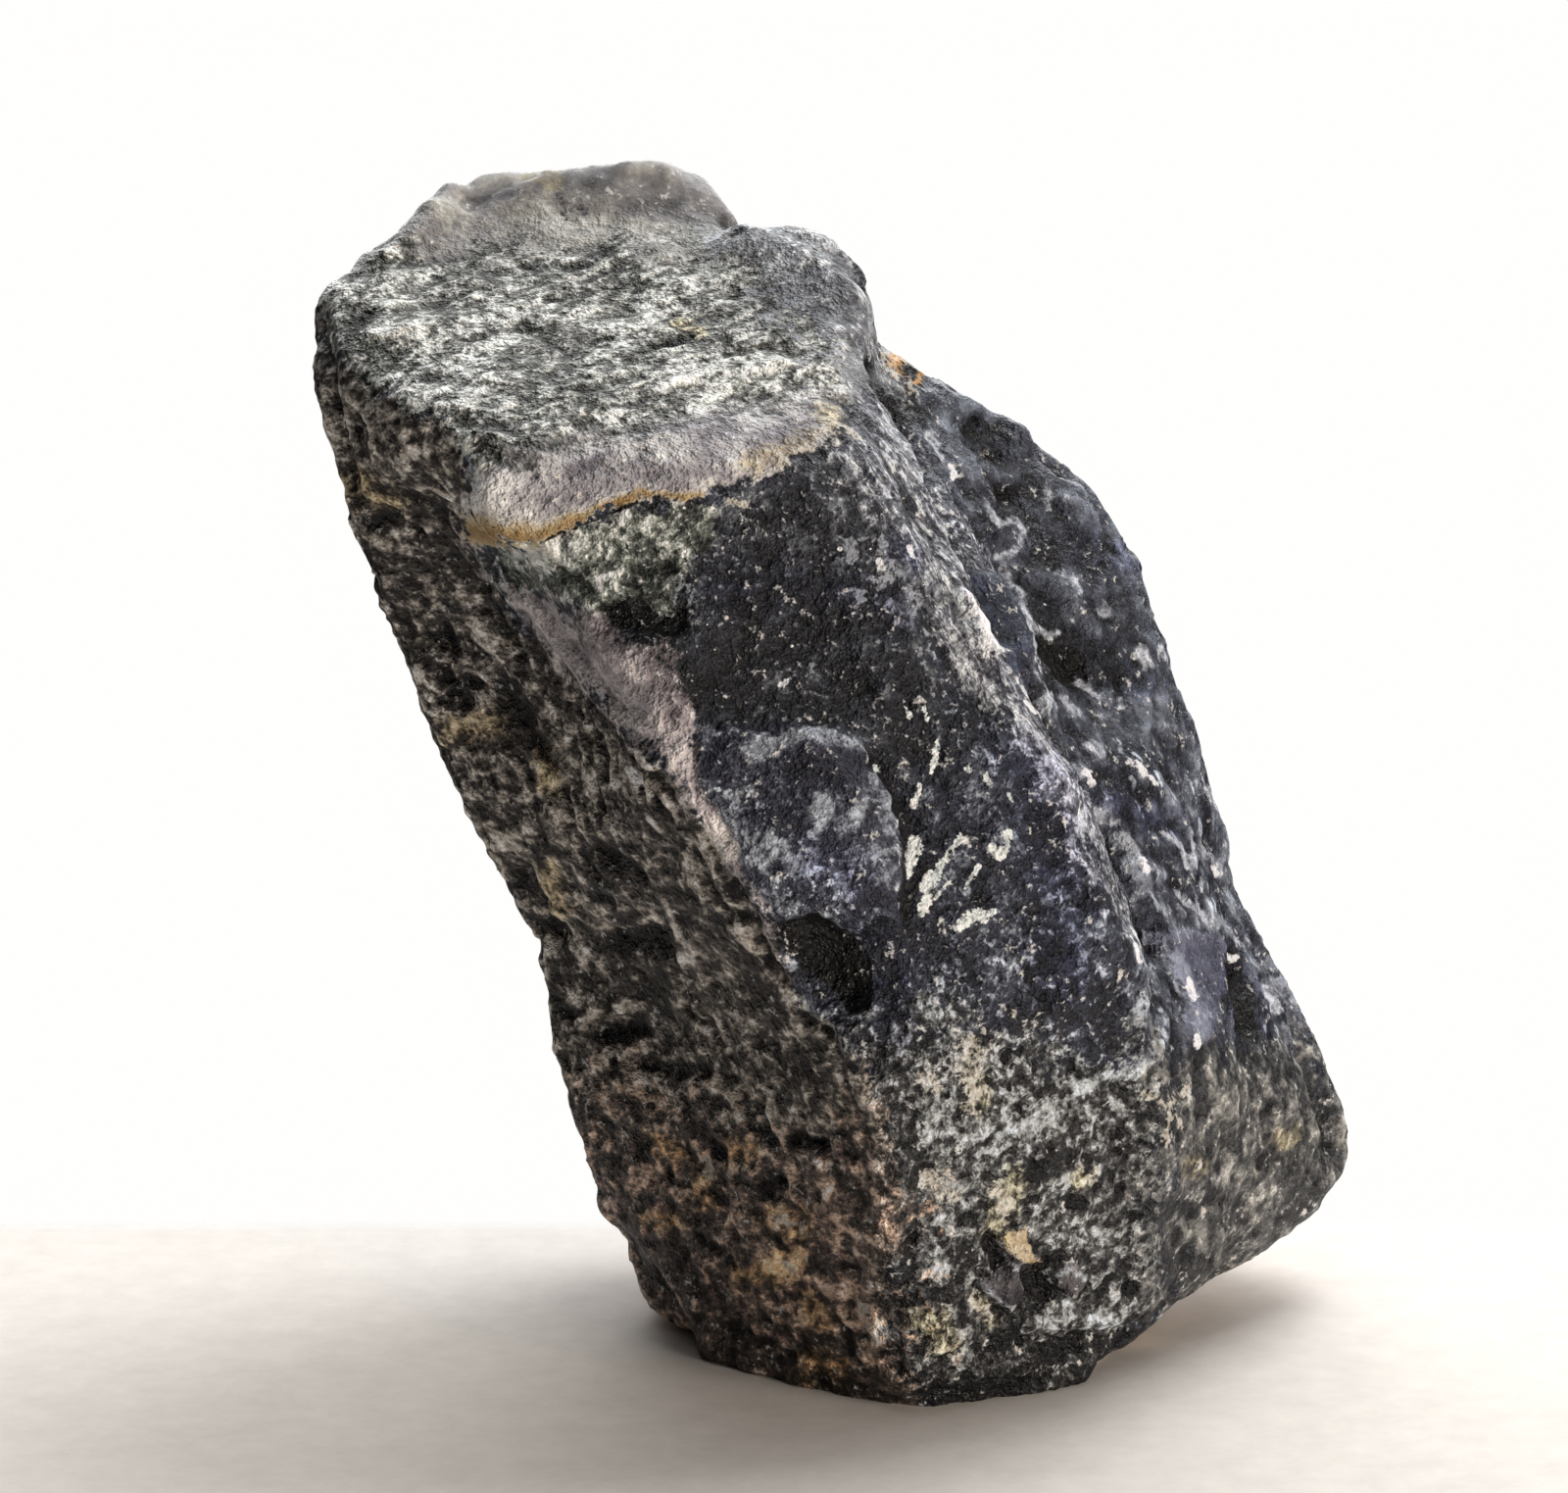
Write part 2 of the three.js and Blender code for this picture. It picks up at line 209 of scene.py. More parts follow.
class Skin:
    """A closed triangle mesh that can be refined and evened out."""

    def __init__(self, points, faces):
        self.points = points
        self.faces = faces

    def edges(self):
        return np.unique(sides_of(self.faces).reshape(-1, 2), axis=0)

    def face_normals(self):
        a, b, c = (self.points[self.faces[:, k]] for k in range(3))
        return np.cross(b - a, c - a)

    def normals(self):
        sums = np.zeros_like(self.points)
        by_face = self.face_normals()
        for axis in range(3):
            for k in range(3):
                sums[:, axis] += np.bincount(self.faces[:, k], by_face[:, axis], len(self.points))
        return sums / np.maximum(np.linalg.norm(sums, axis=1), 1e-12)[:, None]

    def split(self, longest):
        """Halves every edge longer than its limit, which is given for each point."""
        edges, index = np.unique(sides_of(self.faces).reshape(-1, 2), axis=0, return_inverse=True)
        index = index.reshape(-1, 3)
        a, b = edges[:, 0], edges[:, 1]
        too_long = np.linalg.norm(self.points[a] - self.points[b], axis=1) > (longest[a] + longest[b]) / 2
        if not too_long.any():
            return False
        middle = np.full(len(edges), -1)
        middle[too_long] = len(self.points) + np.arange(too_long.sum())
        self.points = np.concatenate([self.points, (self.points[a[too_long]] + self.points[b[too_long]]) / 2])
        self.faces = split_faces(self.faces, middle[index])
        self.halved = (a[too_long], b[too_long])
        return True

    def evened(self, passes, strength=0.5, pull_back=-0.53):
        """Takes out small unevenness without shrinking the whole."""
        edges = self.edges()
        for step in range(2 * passes):
            share = strength if step % 2 == 0 else pull_back
            self.points = self.points + share * (neighbours_mean(self.points, edges) - self.points)


def neighbours_mean(values, edges):
    a, b = edges[:, 0], edges[:, 1]
    count = np.bincount(a, minlength=len(values)) + np.bincount(b, minlength=len(values))
    flat = values.reshape(len(values), -1)
    sums = np.empty_like(flat)
    for k in range(flat.shape[1]):
        sums[:, k] = np.bincount(a, flat[b, k], len(values)) + np.bincount(b, flat[a, k], len(values))
    return (sums / np.maximum(count, 1)[:, None]).reshape(values.shape)


def split_faces(faces, middles):
    """Each triangle cut into one to four, by which of its sides have a point at their middle."""
    made = []
    marked = middles >= 0
    count = marked.sum(axis=1)
    made.append(faces[count == 0])
    for turn in range(3):
        turned = np.roll(faces, -turn, axis=1)
        mids = np.roll(middles, -turn, axis=1)
        cut = np.roll(marked, -turn, axis=1)
        one = (count == 1) & cut[:, 0]
        a, b, c, m = turned[one, 0], turned[one, 1], turned[one, 2], mids[one, 0]
        made += [np.stack([a, m, c], 1), np.stack([m, b, c], 1)]
        two = (count == 2) & cut[:, 0] & cut[:, 1]
        a, b, c, m, n = turned[two, 0], turned[two, 1], turned[two, 2], mids[two, 0], mids[two, 1]
        made += [np.stack([m, b, n], 1), np.stack([a, m, n], 1), np.stack([a, n, c], 1)]
    all_three = count == 3
    a, b, c = (faces[all_three, k] for k in range(3))
    m, n, o = (middles[all_three, k] for k in range(3))
    made += [np.stack(t, 1) for t in ((a, m, o), (m, b, n), (o, n, c), (m, n, o))]
    return np.concatenate(made)


def solid_skin():
    """The solid's surface as points in millimetres and triangles, with equal points made one."""
    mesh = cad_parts["crystal"].data
    mesh.calc_loop_triangles()
    points = np.empty(len(mesh.vertices) * 3)
    mesh.vertices.foreach_get("co", points)
    faces = np.empty(len(mesh.loop_triangles) * 3, np.int32)
    mesh.loop_triangles.foreach_get("vertices", faces)
    points = points.reshape(-1, 3) / MM
    _, first, index = np.unique(np.round(points, 4), axis=0, return_index=True, return_inverse=True)
    faces = index.reshape(-1)[faces].reshape(-1, 3)
    whole = (faces[:, 0] != faces[:, 1]) & (faces[:, 1] != faces[:, 2]) & (faces[:, 2] != faces[:, 0])
    return Skin(points[first], faces[whole])


def tree_of(skin):
    return BVHTree.FromPolygons(skin.points.tolist(), skin.faces.tolist())


def seen_from_camera(skin, tree):
    """1 for each point that the camera sees, 0 for one that is turned away or hidden."""
    normals = skin.normals()
    towards = EYE - skin.points
    towards /= np.linalg.norm(towards, axis=1)[:, None]
    facing = np.einsum("ij,ij->i", normals, towards)
    seen = np.zeros(len(skin.points))
    for i in np.flatnonzero(facing > 0):
        start = skin.points[i] + LIFT * normals[i] + LIFT * towards[i]
        if tree.ray_cast(Vector(start), Vector(towards[i]))[0] is None:
            seen[i] = 1
    return seen


def refined(skin, limits):
    """Splits edges until each is shorter than the limit of its two points."""
    while skin.split(limits):
        a, b = skin.halved
        limits = np.concatenate([limits, (limits[a] + limits[b]) / 2])


def fine_skin():
    """The solid's skin, rounded and refined: finer where the photograph shows it, finest at small marks."""
    skin = solid_skin()
    for limit in (COARSE_EDGE, UNSEEN_EDGE):
        refined(skin, np.full(len(skin.points), limit))
        skin.evened(3)
    seen = seen_from_camera(skin, tree_of(skin))
    edges = skin.edges()
    for _ in range(4):
        seen = np.maximum(seen, neighbours_mean(seen, edges))
    refined(skin, np.where(seen > 0.15, SEEN_EDGE, UNSEEN_EDGE))
    seen = seen_from_camera(skin, tree_of(skin))
    sight = Sight(skin, seen)
    borders = [(CRISP_BORDER, *outline, outline[0]) for name in CRISP_REGIONS for outline in REGIONS[name][1]]
    small = [mark for name in CRISP_MARKS for mark in MARKS[name]]
    marked = sight.closeness(borders + small)
    refined(skin, np.where(marked > 0.25, MARKED_EDGE, np.where(seen > 0, SEEN_EDGE, UNSEEN_EDGE)))
    skin.evened(2)
    return skin


class Sight:
    """The points that the photograph shows, and the pixels where it shows them."""

    def __init__(self, skin, seen):
        self.skin = skin
        self.shown = np.flatnonzero(seen > 0)
        self.hidden = seen <= 0
        across, down = photo_pixels(skin.points[self.shown])
        self.across = across
        self.down = down
        self.edges = skin.edges()

    def bend(self, reaches, seed):
        """Pushes the pixels about by noise, so that what is laid out by them gets uneven edges."""
        places = self.skin.points[self.shown]
        for k, (reach, size) in enumerate(reaches):
            across = fractal(places, size / PIXELS_PER_MM, seed + 2 * k, octaves=2)
            down = fractal(places, size / PIXELS_PER_MM, seed + 2 * k + 1, octaves=2)
            self.across = self.across + reach * across
            self.down = self.down + reach * down
        return self

    def everywhere(self, shown_value, hidden_value=0.0, rounds=10):
        """A value for every point, carried a little way from the shown side over its border."""
        value = np.full(len(self.skin.points), 0.0) + hidden_value
        value[self.shown] = shown_value
        for _ in range(rounds):
            value = np.where(self.hidden, 0.3 * value + 0.7 * neighbours_mean(value, self.edges), value)
        return value

    def inside(self, outline):
        """How many pixels inside an outline of pixels each shown point lies, negative outside."""
        nearest = np.full(len(self.across), np.inf)
        inside = np.zeros(len(self.across), bool)
        for (ax, ay), (bx, by) in zip(outline, outline[1:] + outline[:1]):
            nearest = np.minimum(nearest, self.distance((ax, ay), (bx, by)))
            crosses = (ay > self.down) != (by > self.down)
            if by != ay:
                inside ^= crosses & (self.across - ax < (bx - ax) * (self.down - ay) / (by - ay))
        return np.where(inside, nearest, -nearest)

    def distance(self, start, end):
        """How many pixels each shown point lies from a line between two pixels."""
        ex, ey = end[0] - start[0], end[1] - start[1]
        wx, wy = self.across - start[0], self.down - start[1]
        share = np.clip((wx * ex + wy * ey) / max(ex * ex + ey * ey, 1e-9), 0, 1)
        return np.hypot(wx - share * ex, wy - share * ey)

    def stroke(self, half_width, *pixels):
        """1 on a line of pixels, 0.5 at its half width and 0 at twice that."""
        ends = list(zip(pixels, pixels[1:])) or [(pixels[0], pixels[0])]
        nearest = np.minimum.reduce([self.distance(a, b) for a, b in ends])
        return np.clip(1 - nearest / (2 * half_width), 0, 1)

    def closeness(self, strokes):
        total = np.zeros(len(self.across))
        for stroke in strokes:
            total = np.maximum(total, self.stroke(*stroke))
        return self.everywhere(total, rounds=2)


# Lines in the photograph that several kinds of surface share, in its pixels.
LEFT_EDGE_OF_FRONT = [
    (473, 554), (534, 634), (591, 691), (636, 739), (690, 795), (735, 850), (754, 890), (783, 945),
    (811, 1023), (888, 1087), (916, 1154), (923, 1205), (916, 1294), (900, 1361), (939, 1438),
]
TOP_EDGE_OF_LEFT = [(324, 353), (364, 379), (411, 411), (466, 439), (469, 455), (482, 487)]
FOOT_OF_BLOCK = [(386, 242), (478, 235), (555, 219), (606, 222), (660, 229), (699, 232), (759, 238)]
TOP_OF_BAND = [(483, 487), (545, 478), (600, 458), (650, 446), (700, 440), (760, 428), (850, 418)]
FOOT_OF_BAND = [
    (478, 550), (500, 557), (530, 556), (556, 547), (590, 532), (620, 520), (651, 508), (683, 508),
    (721, 508), (760, 488), (800, 470), (858, 446),
]
RIDGE_INNER_LINE = [
    (850, 440), (880, 500), (905, 545), (938, 580), (955, 640), (968, 690), (1000, 712), (1035, 765),
    (1062, 800), (1085, 845), (1105, 885), (1148, 935),
]
RIDGE_OUTER_LINE = [
    (885, 405), (936, 457), (946, 486), (981, 531), (1004, 570), (1049, 640), (1055, 666), (1066, 740),
    (1087, 787), (1128, 876), (1154, 930), (1163, 972),
]

# Where the photograph shows each kind of surface: how gradually it ends, in mm, and its outlines in photo
# pixels. Later ones lie over earlier ones.
REGIONS = {
    "lower": (6.0, [[(870, 1060), (950, 1025), (1010, 1050), (1080, 1075), (1150, 1060), (1192, 1060),
                     (1190, 1200), (1180, 1341), (1046, 1500), (939, 1470), (880, 1361), (880, 1205),
                     (870, 1154)]]),
    "upper": (5.0, [[(680, 545), (770, 490), (858, 435), (905, 500), (960, 600), (975, 700), (950, 780),
                     (905, 800), (870, 745), (820, 740), (776, 740), (700, 740), (670, 680), (650, 640)]]),
    "wing": (3.0, [RIDGE_OUTER_LINE + [(1170, 900), (1200, 860), (1300, 860), (1250, 600), (1100, 420),
                                       (890, 300)]]),
    "folds": (4.0, [[(1066, 740), (1110, 755), (1200, 780), (1270, 840), (1290, 960), (1330, 1070),
                     (1200, 1090), (1163, 972), (1128, 876), (1087, 787)]]),
    "corner": (6.0, [[(1192, 1070), (1290, 1070), (1340, 1060), (1420, 1180), (1330, 1330), (1170, 1380),
                      (1185, 1200)]]),
    "left": (1.5, [TOP_EDGE_OF_LEFT + LEFT_EDGE_OF_FRONT + [(700, 1500), (200, 1500), (200, 340)]]),
    "rust": (9.0, [[(560, 1120), (700, 1140), (810, 1180), (880, 1150), (916, 1205), (912, 1294),
                    (895, 1361), (939, 1470), (700, 1500), (560, 1400)]]),
    "top": (1.2, [TOP_EDGE_OF_LEFT + TOP_OF_BAND + [(885, 405), (880, 300), (800, 215)]
                  + FOOT_OF_BLOCK[::-1] + [(280, 290)]]),
    "block": (5.0, [[(380, 262), (478, 258), (555, 246), (606, 246), (660, 252), (740, 262), (790, 230),
                     (780, 180), (700, 120), (400, 120), (320, 262)]]),
    "hump": (5.0, [[(735, 245), (800, 200), (900, 260), (915, 410), (880, 415), (850, 370), (810, 330),
                    (760, 300)]]),
    "grains": (2.5, [[(492, 558), (555, 552), (620, 522), (690, 508), (735, 520), (730, 545), (700, 580),
                      (680, 640), (620, 640), (560, 600), (510, 610)]]),
    "strip": (2.5, [[(500, 575), (530, 600), (600, 632), (660, 645), (690, 690), (712, 760), (735, 790),
                     (760, 830), (775, 880), (800, 935), (783, 945), (735, 850), (636, 739), (560, 670)]]),
    "plate": (0.8, [[(709, 749), (740, 742), (776, 748), (800, 740), (821, 742), (850, 744), (872, 756),
                     (886, 770), (883, 782), (896, 790), (900, 806), (911, 812), (907, 828), (917, 840),
                     (912, 854), (920, 866), (914, 882), (921, 897), (912, 912), (917, 925), (906, 941),
                     (897, 929), (888, 942), (880, 934), (877, 953), (866, 942), (858, 950), (850, 933),
                     (842, 940), (834, 928), (822, 938), (812, 930), (795, 943), (765, 890), (745, 840),
                     (712, 800)]]),
    # The pits: deep hollows, their near-black colour painted shade.
    "pit": (1.0, [[(790, 946), (811, 938), (824, 931), (834, 932), (842, 939), (856, 947), (868, 954),
                   (878, 956), (884, 975), (888, 1000), (886, 1026), (874, 1034), (850, 1014), (820, 996),
                   (802, 968)],
                  [(614, 618), (650, 608), (676, 622), (700, 618), (700, 645), (650, 648), (618, 640)],
                  [(1054, 650), (1078, 642), (1090, 656), (1104, 664), (1108, 684), (1100, 700),
                   (1070, 694)],
                  [(1252, 985), (1272, 985), (1286, 1050), (1280, 1062), (1262, 1050)]]),
    "ridge": (2.5, [RIDGE_INNER_LINE + RIDGE_OUTER_LINE[::-1]]),
    "facet": (0.8, [[(986, 572), (1000, 572), (1016, 590), (1034, 612), (1046, 640), (1054, 668),
                     (1056, 696), (1040, 700), (1030, 680), (1024, 650), (1012, 622), (996, 602),
                     (986, 590)]]),
    "haze": (1.6, [[(484, 474), (545, 462), (600, 441), (650, 430), (700, 421), (760, 408), (850, 396),
                    (874, 420), (856, 446), (760, 470), (700, 480), (600, 490), (545, 500), (482, 505)]]),
    "band": (2.2, [TOP_OF_BAND + FOOT_OF_BAND[::-1]]),
    "violet": (0.8, [[(1184, 950), (1215, 948), (1245, 955), (1250, 985), (1246, 1015), (1238, 1045),
                      (1222, 1072), (1212, 1050), (1210, 1020), (1196, 990)]]),
    "nodules": (0.5, [[(1031, 1284), (1040, 1300), (1046, 1317), (1034, 1329), (1019, 1330), (1001, 1315),
                       (1000, 1308), (1018, 1296)],
                      [(1077, 1293), (1095, 1290), (1108, 1303), (1102, 1317), (1091, 1323),
                       (1077, 1311)]]),
    "chip": (0.4, [[(1019, 1261), (1045, 1252), (1050, 1280), (1066, 1284), (1060, 1290), (1041, 1287),
                    (1028, 1274)]]),
}

# How far noise bends their outlines, and its sizes, in pixels.
REGION_BENDS = ((7.0, 50), (4.0, 14), (1.5, 5))

# These end more crisply than the rest, and are followed more closely, to this many pixels from their border.
CRISP_REGIONS = ("plate", "pit", "facet", "violet", "nodules", "chip")
CRISP_BENDS = ((2.5, 20), (1.5, 7))
CRISP_BORDER = 6


def region_fields(skin, seen):
    """For each region, a value at each point: over half inside it, half on its edge, under half outside."""
    uneven = Sight(skin, seen).bend(REGION_BENDS, 501)
    crisp = Sight(skin, seen).bend(CRISP_BENDS, 541)
    hidden = unseen_fields(skin)
    fields = {}
    for name, (reach, outlines) in REGIONS.items():
        sight = crisp if name in CRISP_REGIONS else uneven
        inside = np.maximum.reduce([sight.inside(outline) for outline in outlines]) / PIXELS_PER_MM
        fields[name] = sight.everywhere(np.clip(0.5 + inside / (2 * reach), 0, 1), hidden.get(name, 0.0))
    return fields


def away_field(skin, seen):
    """How much each hidden point faces away from the viewer, to the light behind: 0 to 1."""
    faces_back = soft_step(-0.15, 0.75, skin.normals()[:, 1])
    return Sight(skin, seen).everywhere(0.0, 0.2 + 0.8 * faces_back)


def unseen_fields(skin):
    """The sides that the photograph doesn't show: the same kinds of surface, in broad patches."""
    p = skin.points
    normals = skin.normals()
    patches = 0.25 * fractal(p, 11, 61, octaves=3)
    right_side = 0.5 + 0.5 * normals[:, 0] + patches
    low = soft_step(18, 8, p[:, 2])
    return {
        "left": np.clip(0.55 - 0.5 * normals[:, 0] + patches, 0, 1),
        "rust": np.clip(0.9 * low - 0.3 * normals[:, 0], 0, 1),
        "wing": np.clip(right_side, 0, 1),
        "upper": np.clip(0.2 + 0.9 * fractal(p, 13, 71, octaves=3), 0, 1),
        "lower": np.clip(0.15 + 0.9 * fractal(p, 12, 81, octaves=3) + 0.3 * low, 0, 1),
        "corner": np.clip(0.7 * low * right_side, 0, 1),
        "block": 0.8 * soft_step(46, 56, p[:, 2] + 24 * patches),
    }


# Lighter and darker patches: steps up or down the surface's palette, half width in photo pixels, and the
# photo pixels along which the patch lies.
PATCHES = [
    # Top face, darker
    (-1.6, 15, (350, 345), (372, 318)), (-1.3, 13, (415, 325), (450, 305)),
    (-1.2, 6, (358, 285), (392, 278)), (-1.3, 7, (440, 296), (495, 285)), (-1.2, 7, (500, 270), (508, 292)),
    (-1.1, 8, (360, 370), (395, 352)), (-1.3, 5, (402, 372), (428, 365)),
    (-1.1, 13, (540, 335), (585, 360)), (-1.5, 4, (520, 272), (600, 268)),
    (-1.1, 6, (600, 262), (640, 265)), (-1.4, 12, (470, 428), (520, 440)),
    (-0.9, 8, (500, 440), (550, 400)), (-1.1, 6, (555, 380), (590, 372)), (-1.3, 8, (595, 400), (650, 385)),
    (-1.4, 7, (580, 425), (600, 428)), (-1.8, 5, (655, 360), (700, 342)), (-1.2, 4, (612, 382), (660, 360)),
    (-1.3, 7, (745, 357), (800, 350)), (-0.9, 14, (800, 330), (835, 320)),
    (-1.2, 5, (695, 300), (705, 310)), (-0.9, 10, (640, 440), (700, 432)),
    (-1.2, 13, (500, 466), (560, 452)), (-1.5, 3, (430, 390), (445, 386)),
    (-1.5, 3, (450, 390), (475, 388)), (-0.8, 14, (560, 290), (640, 285)),
    (-0.8, 12, (720, 320), (750, 330)), (-0.7, 12, (760, 290), (830, 285)),
    (-0.9, 9, (700, 352), (740, 345)), (-1.0, 9, (650, 415), (690, 405)),
    (-0.8, 12, (740, 300), (780, 310)), (-1.0, 6, (560, 405), (600, 385)),
    (-1.0, 5, (450, 410), (480, 405)), (-0.7, 14, (450, 255), (520, 255)),
    # Top face, lighter
    (1.6, 11, (398, 342), (425, 335)), (1.0, 8, (380, 310), (420, 305)), (0.9, 9, (430, 350), (400, 385)),
    (1.2, 7, (470, 372), (500, 362)), (1.1, 6, (505, 345), (550, 335)), (0.5, 10, (575, 325), (640, 310)),
    (1.0, 8, (610, 395), (645, 380)), (1.2, 10, (690, 385), (745, 375), (798, 370)),
    (1.0, 9, (705, 412), (745, 405)), (0.7, 6, (760, 395), (800, 392)), (0.8, 9, (650, 325), (700, 310)),
    (0.7, 8, (705, 285), (745, 272)), (0.9, 5, (515, 295), (540, 288)), (1.0, 8, (835, 440), (850, 420)),
    (1.0, 5, (600, 448), (655, 440)), (-1.2, 12, (535, 368), (560, 388)), (-1.2, 9, (572, 404), (618, 412)),
    (-0.8, 7, (468, 362), (500, 374)), (-0.9, 7, (415, 322), (458, 318)), (-0.6, 8, (475, 278), (560, 274)),
    (-0.9, 7, (592, 308), (625, 304)), (-0.7, 7, (605, 328), (645, 326)), (-1.0, 8, (664, 362), (684, 390)),
    (-0.8, 7, (758, 358), (800, 352)), (-0.8, 7, (500, 425), (514, 440)), (-1.0, 7, (410, 412), (422, 430)),
    (-1.2, 9, (332, 318), (342, 338)), (-0.6, 8, (370, 282), (395, 252)), (1.3, 16, (745, 290), (795, 275)),
    (0.8, 5, (525, 333), (545, 328)), (0.9, 8, (430, 345), (445, 380)), (0.8, 7, (360, 345), (420, 345)),
    (0.8, 6, (450, 425), (480, 420)), (0.8, 9, (702, 305), (722, 325)), (0.7, 6, (705, 392), (800, 396)),
    (0.7, 10, (832, 260), (845, 325)), (-0.8, 12, (500, 362), (560, 356)),
    (-0.9, 12, (590, 420), (600, 440)), (-0.8, 10, (335, 330), (365, 342)),
    (-0.8, 9, (420, 325), (460, 322)), (-0.7, 8, (480, 282), (560, 278)), (-0.7, 8, (600, 308), (640, 312)),
    # Top block and hump
    (0.8, 11, (396, 238), (430, 222), (470, 232)), (-0.9, 8, (420, 212), (455, 208)),
    (-0.9, 9, (500, 198), (550, 185)), (-1.0, 26, (620, 195), (700, 200)),
    (-0.8, 16, (700, 215), (735, 225)), (1.2, 8, (560, 222), (640, 232), (740, 242)),
    (0.7, 10, (540, 210), (590, 205)), (-1.4, 10, (858, 268), (872, 300), (876, 345)),
    (1.2, 4, (872, 322), (879, 305)), (0.5, 18, (740, 280), (800, 285)),
    (-1.5, 11, (866, 292), (876, 340), (886, 388)), (-0.9, 14, (890, 370), (915, 405)),
    # Pale band
    (-1.4, 16, (775, 458), (830, 436)), (-1.6, 12, (665, 484), (740, 488)),
    (-1.3, 14, (560, 510), (610, 494)), (0.45, 12, (486, 510), (500, 512)),
    (-0.7, 12, (528, 508), (540, 505)), (0.5, 8, (640, 455), (700, 462)), (-2.2, 7, (584, 482), (606, 474)),
    (-1.8, 5, (614, 471), (626, 467)), (-1.2, 12, (600, 492), (650, 480)),
    (-0.8, 12, (720, 450), (760, 440)), (-1.1, 13, (690, 471), (722, 468)),
    (-1.6, 8, (535, 463), (562, 458)), (-0.8, 6, (625, 442), (650, 438)),
    (-1.5, 11, (690, 480), (702, 502)), (0.5, 10, (560, 500), (610, 500)),
    # Grains under the band
    (-1.5, 10, (703, 520), (716, 560)), (1.3, 9, (622, 528), (632, 540)),
    (-1.2, 10, (618, 585), (632, 600)), (-1.0, 9, (655, 590), (690, 610)),
    (-1.2, 9, (610, 622), (628, 630)), (-0.9, 8, (635, 558), (660, 560)), (1.3, 8, (598, 555), (602, 566)),
    (1.2, 8, (612, 530), (635, 522)), (-1.2, 7, (622, 598), (632, 604)), (-1.1, 8, (660, 594), (700, 600)),
    (-1.0, 7, (600, 628), (622, 632)), (1.2, 8, (680, 636), (700, 632)), (0.9, 5, (642, 612), (648, 622)),
    (-1.8, 10, (575, 590), (598, 598)), (-1.6, 12, (650, 590), (680, 575)),
    (1.6, 8, (528, 562), (550, 568)), (1.6, 9, (562, 550), (575, 580)), (1.7, 8, (612, 592), (628, 585)),
    (1.0, 8, (680, 565), (700, 558)), (-1.4, 7, (640, 545), (650, 525)), (-1.2, 8, (545, 590), (560, 600)),
    (-1.0, 10, (520, 585), (530, 600)),
    # Front face above the plate
    (1.5, 12, (730, 505), (745, 525)), (1.2, 8, (765, 500), (805, 492)), (-1.2, 10, (690, 668), (692, 712)),
    (-0.9, 12, (735, 628), (755, 635)), (-1.4, 12, (875, 580), (900, 600)),
    (-0.9, 10, (862, 600), (880, 625)), (-0.9, 8, (900, 615), (905, 635)),
    (0.7, 14, (745, 565), (790, 572)), (-0.8, 10, (800, 670), (812, 735)), (0.7, 8, (862, 660), (872, 690)),
    (1.6, 8, (788, 690), (800, 702)), (1.3, 6, (846, 690), (850, 703)), (1.1, 5, (835, 695), (838, 710)),
    (1.5, 6, (778, 545), (800, 540)), (1.4, 6, (820, 555), (832, 560)), (1.2, 4, (758, 562), (770, 563)),
    (1.5, 5, (862, 555), (870, 562)), (1.1, 6, (810, 640), (825, 645)), (1.4, 4, (806, 658), (812, 660)),
    (0.9, 8, (850, 665), (880, 660)), (0.8, 10, (860, 720), (880, 735)), (1.3, 4, (800, 600), (806, 604)),
    (1.4, 5, (865, 470), (880, 510), (878, 525)), (1.2, 4, (900, 470), (910, 500)),
    (1.2, 4, (845, 525), (850, 545)), (-0.8, 22, (740, 640), (760, 700)),
    (-0.6, 20, (830, 600), (860, 620)), (-1.0, 9, (860, 700), (850, 715)), (1.3, 4, (715, 636), (724, 638)),
    (1.2, 4, (755, 690), (760, 690)), (1.3, 4, (776, 520), (786, 512)), (1.4, 11, (722, 495), (760, 508)),
    (1.2, 9, (672, 640), (702, 636)), (-1.2, 15, (735, 622), (762, 640)),
    (-1.6, 22, (672, 668), (692, 700)), (-0.9, 14, (860, 605), (880, 590)),
    (1.0, 9, (848, 505), (856, 530)), (-0.9, 12, (800, 720), (840, 728)), (1.1, 10, (915, 555), (922, 572)),
    (0.9, 12, (935, 665), (962, 690)),
    # Pinkish strip at the edge of the front face
    (0.9, 13, (500, 555), (530, 600), (575, 640)), (0.9, 14, (595, 705), (620, 735), (655, 765)),
    (0.6, 12, (520, 560), (560, 590)), (-1.0, 10, (705, 770), (715, 830)), (0.9, 8, (630, 685), (650, 682)),
    (0.7, 12, (670, 740), (690, 770)), (0.6, 8, (610, 690), (640, 722), (668, 745)),
    (-1.0, 10, (600, 650), (640, 660)), (-1.6, 5, (604, 718), (622, 740), (664, 768)),
    (1.0, 8, (525, 600), (560, 625)), (0.9, 10, (650, 762), (700, 800), (735, 830), (756, 862)),
    (-1.8, 6, (690, 735), (700, 715)), (0.7, 10, (555, 660), (590, 700), (625, 738)),
    (0.5, 10, (520, 560), (560, 600)),
    # Left face, darker
    (-1.0, 9, (425, 530), (432, 555)), (-1.1, 7, (455, 565), (475, 598)), (-1.1, 8, (438, 590), (446, 606)),
    (-1.5, 11, (438, 662), (444, 676)), (-0.9, 8, (370, 485), (390, 502)),
    (-1.0, 7, (500, 630), (518, 662)), (-0.9, 7, (395, 580), (408, 600)),
    (-1.0, 12, (612, 885), (680, 905)), (-0.9, 12, (635, 945), (660, 958)),
    (-1.0, 12, (598, 1005), (615, 1040)), (-1.6, 9, (684, 1140), (698, 1152)),
    (-1.0, 8, (625, 1128), (640, 1140)), (-1.0, 8, (640, 1190), (665, 1180)),
    (-1.0, 6, (718, 832), (726, 842)), (-0.9, 8, (778, 1020), (795, 1040)),
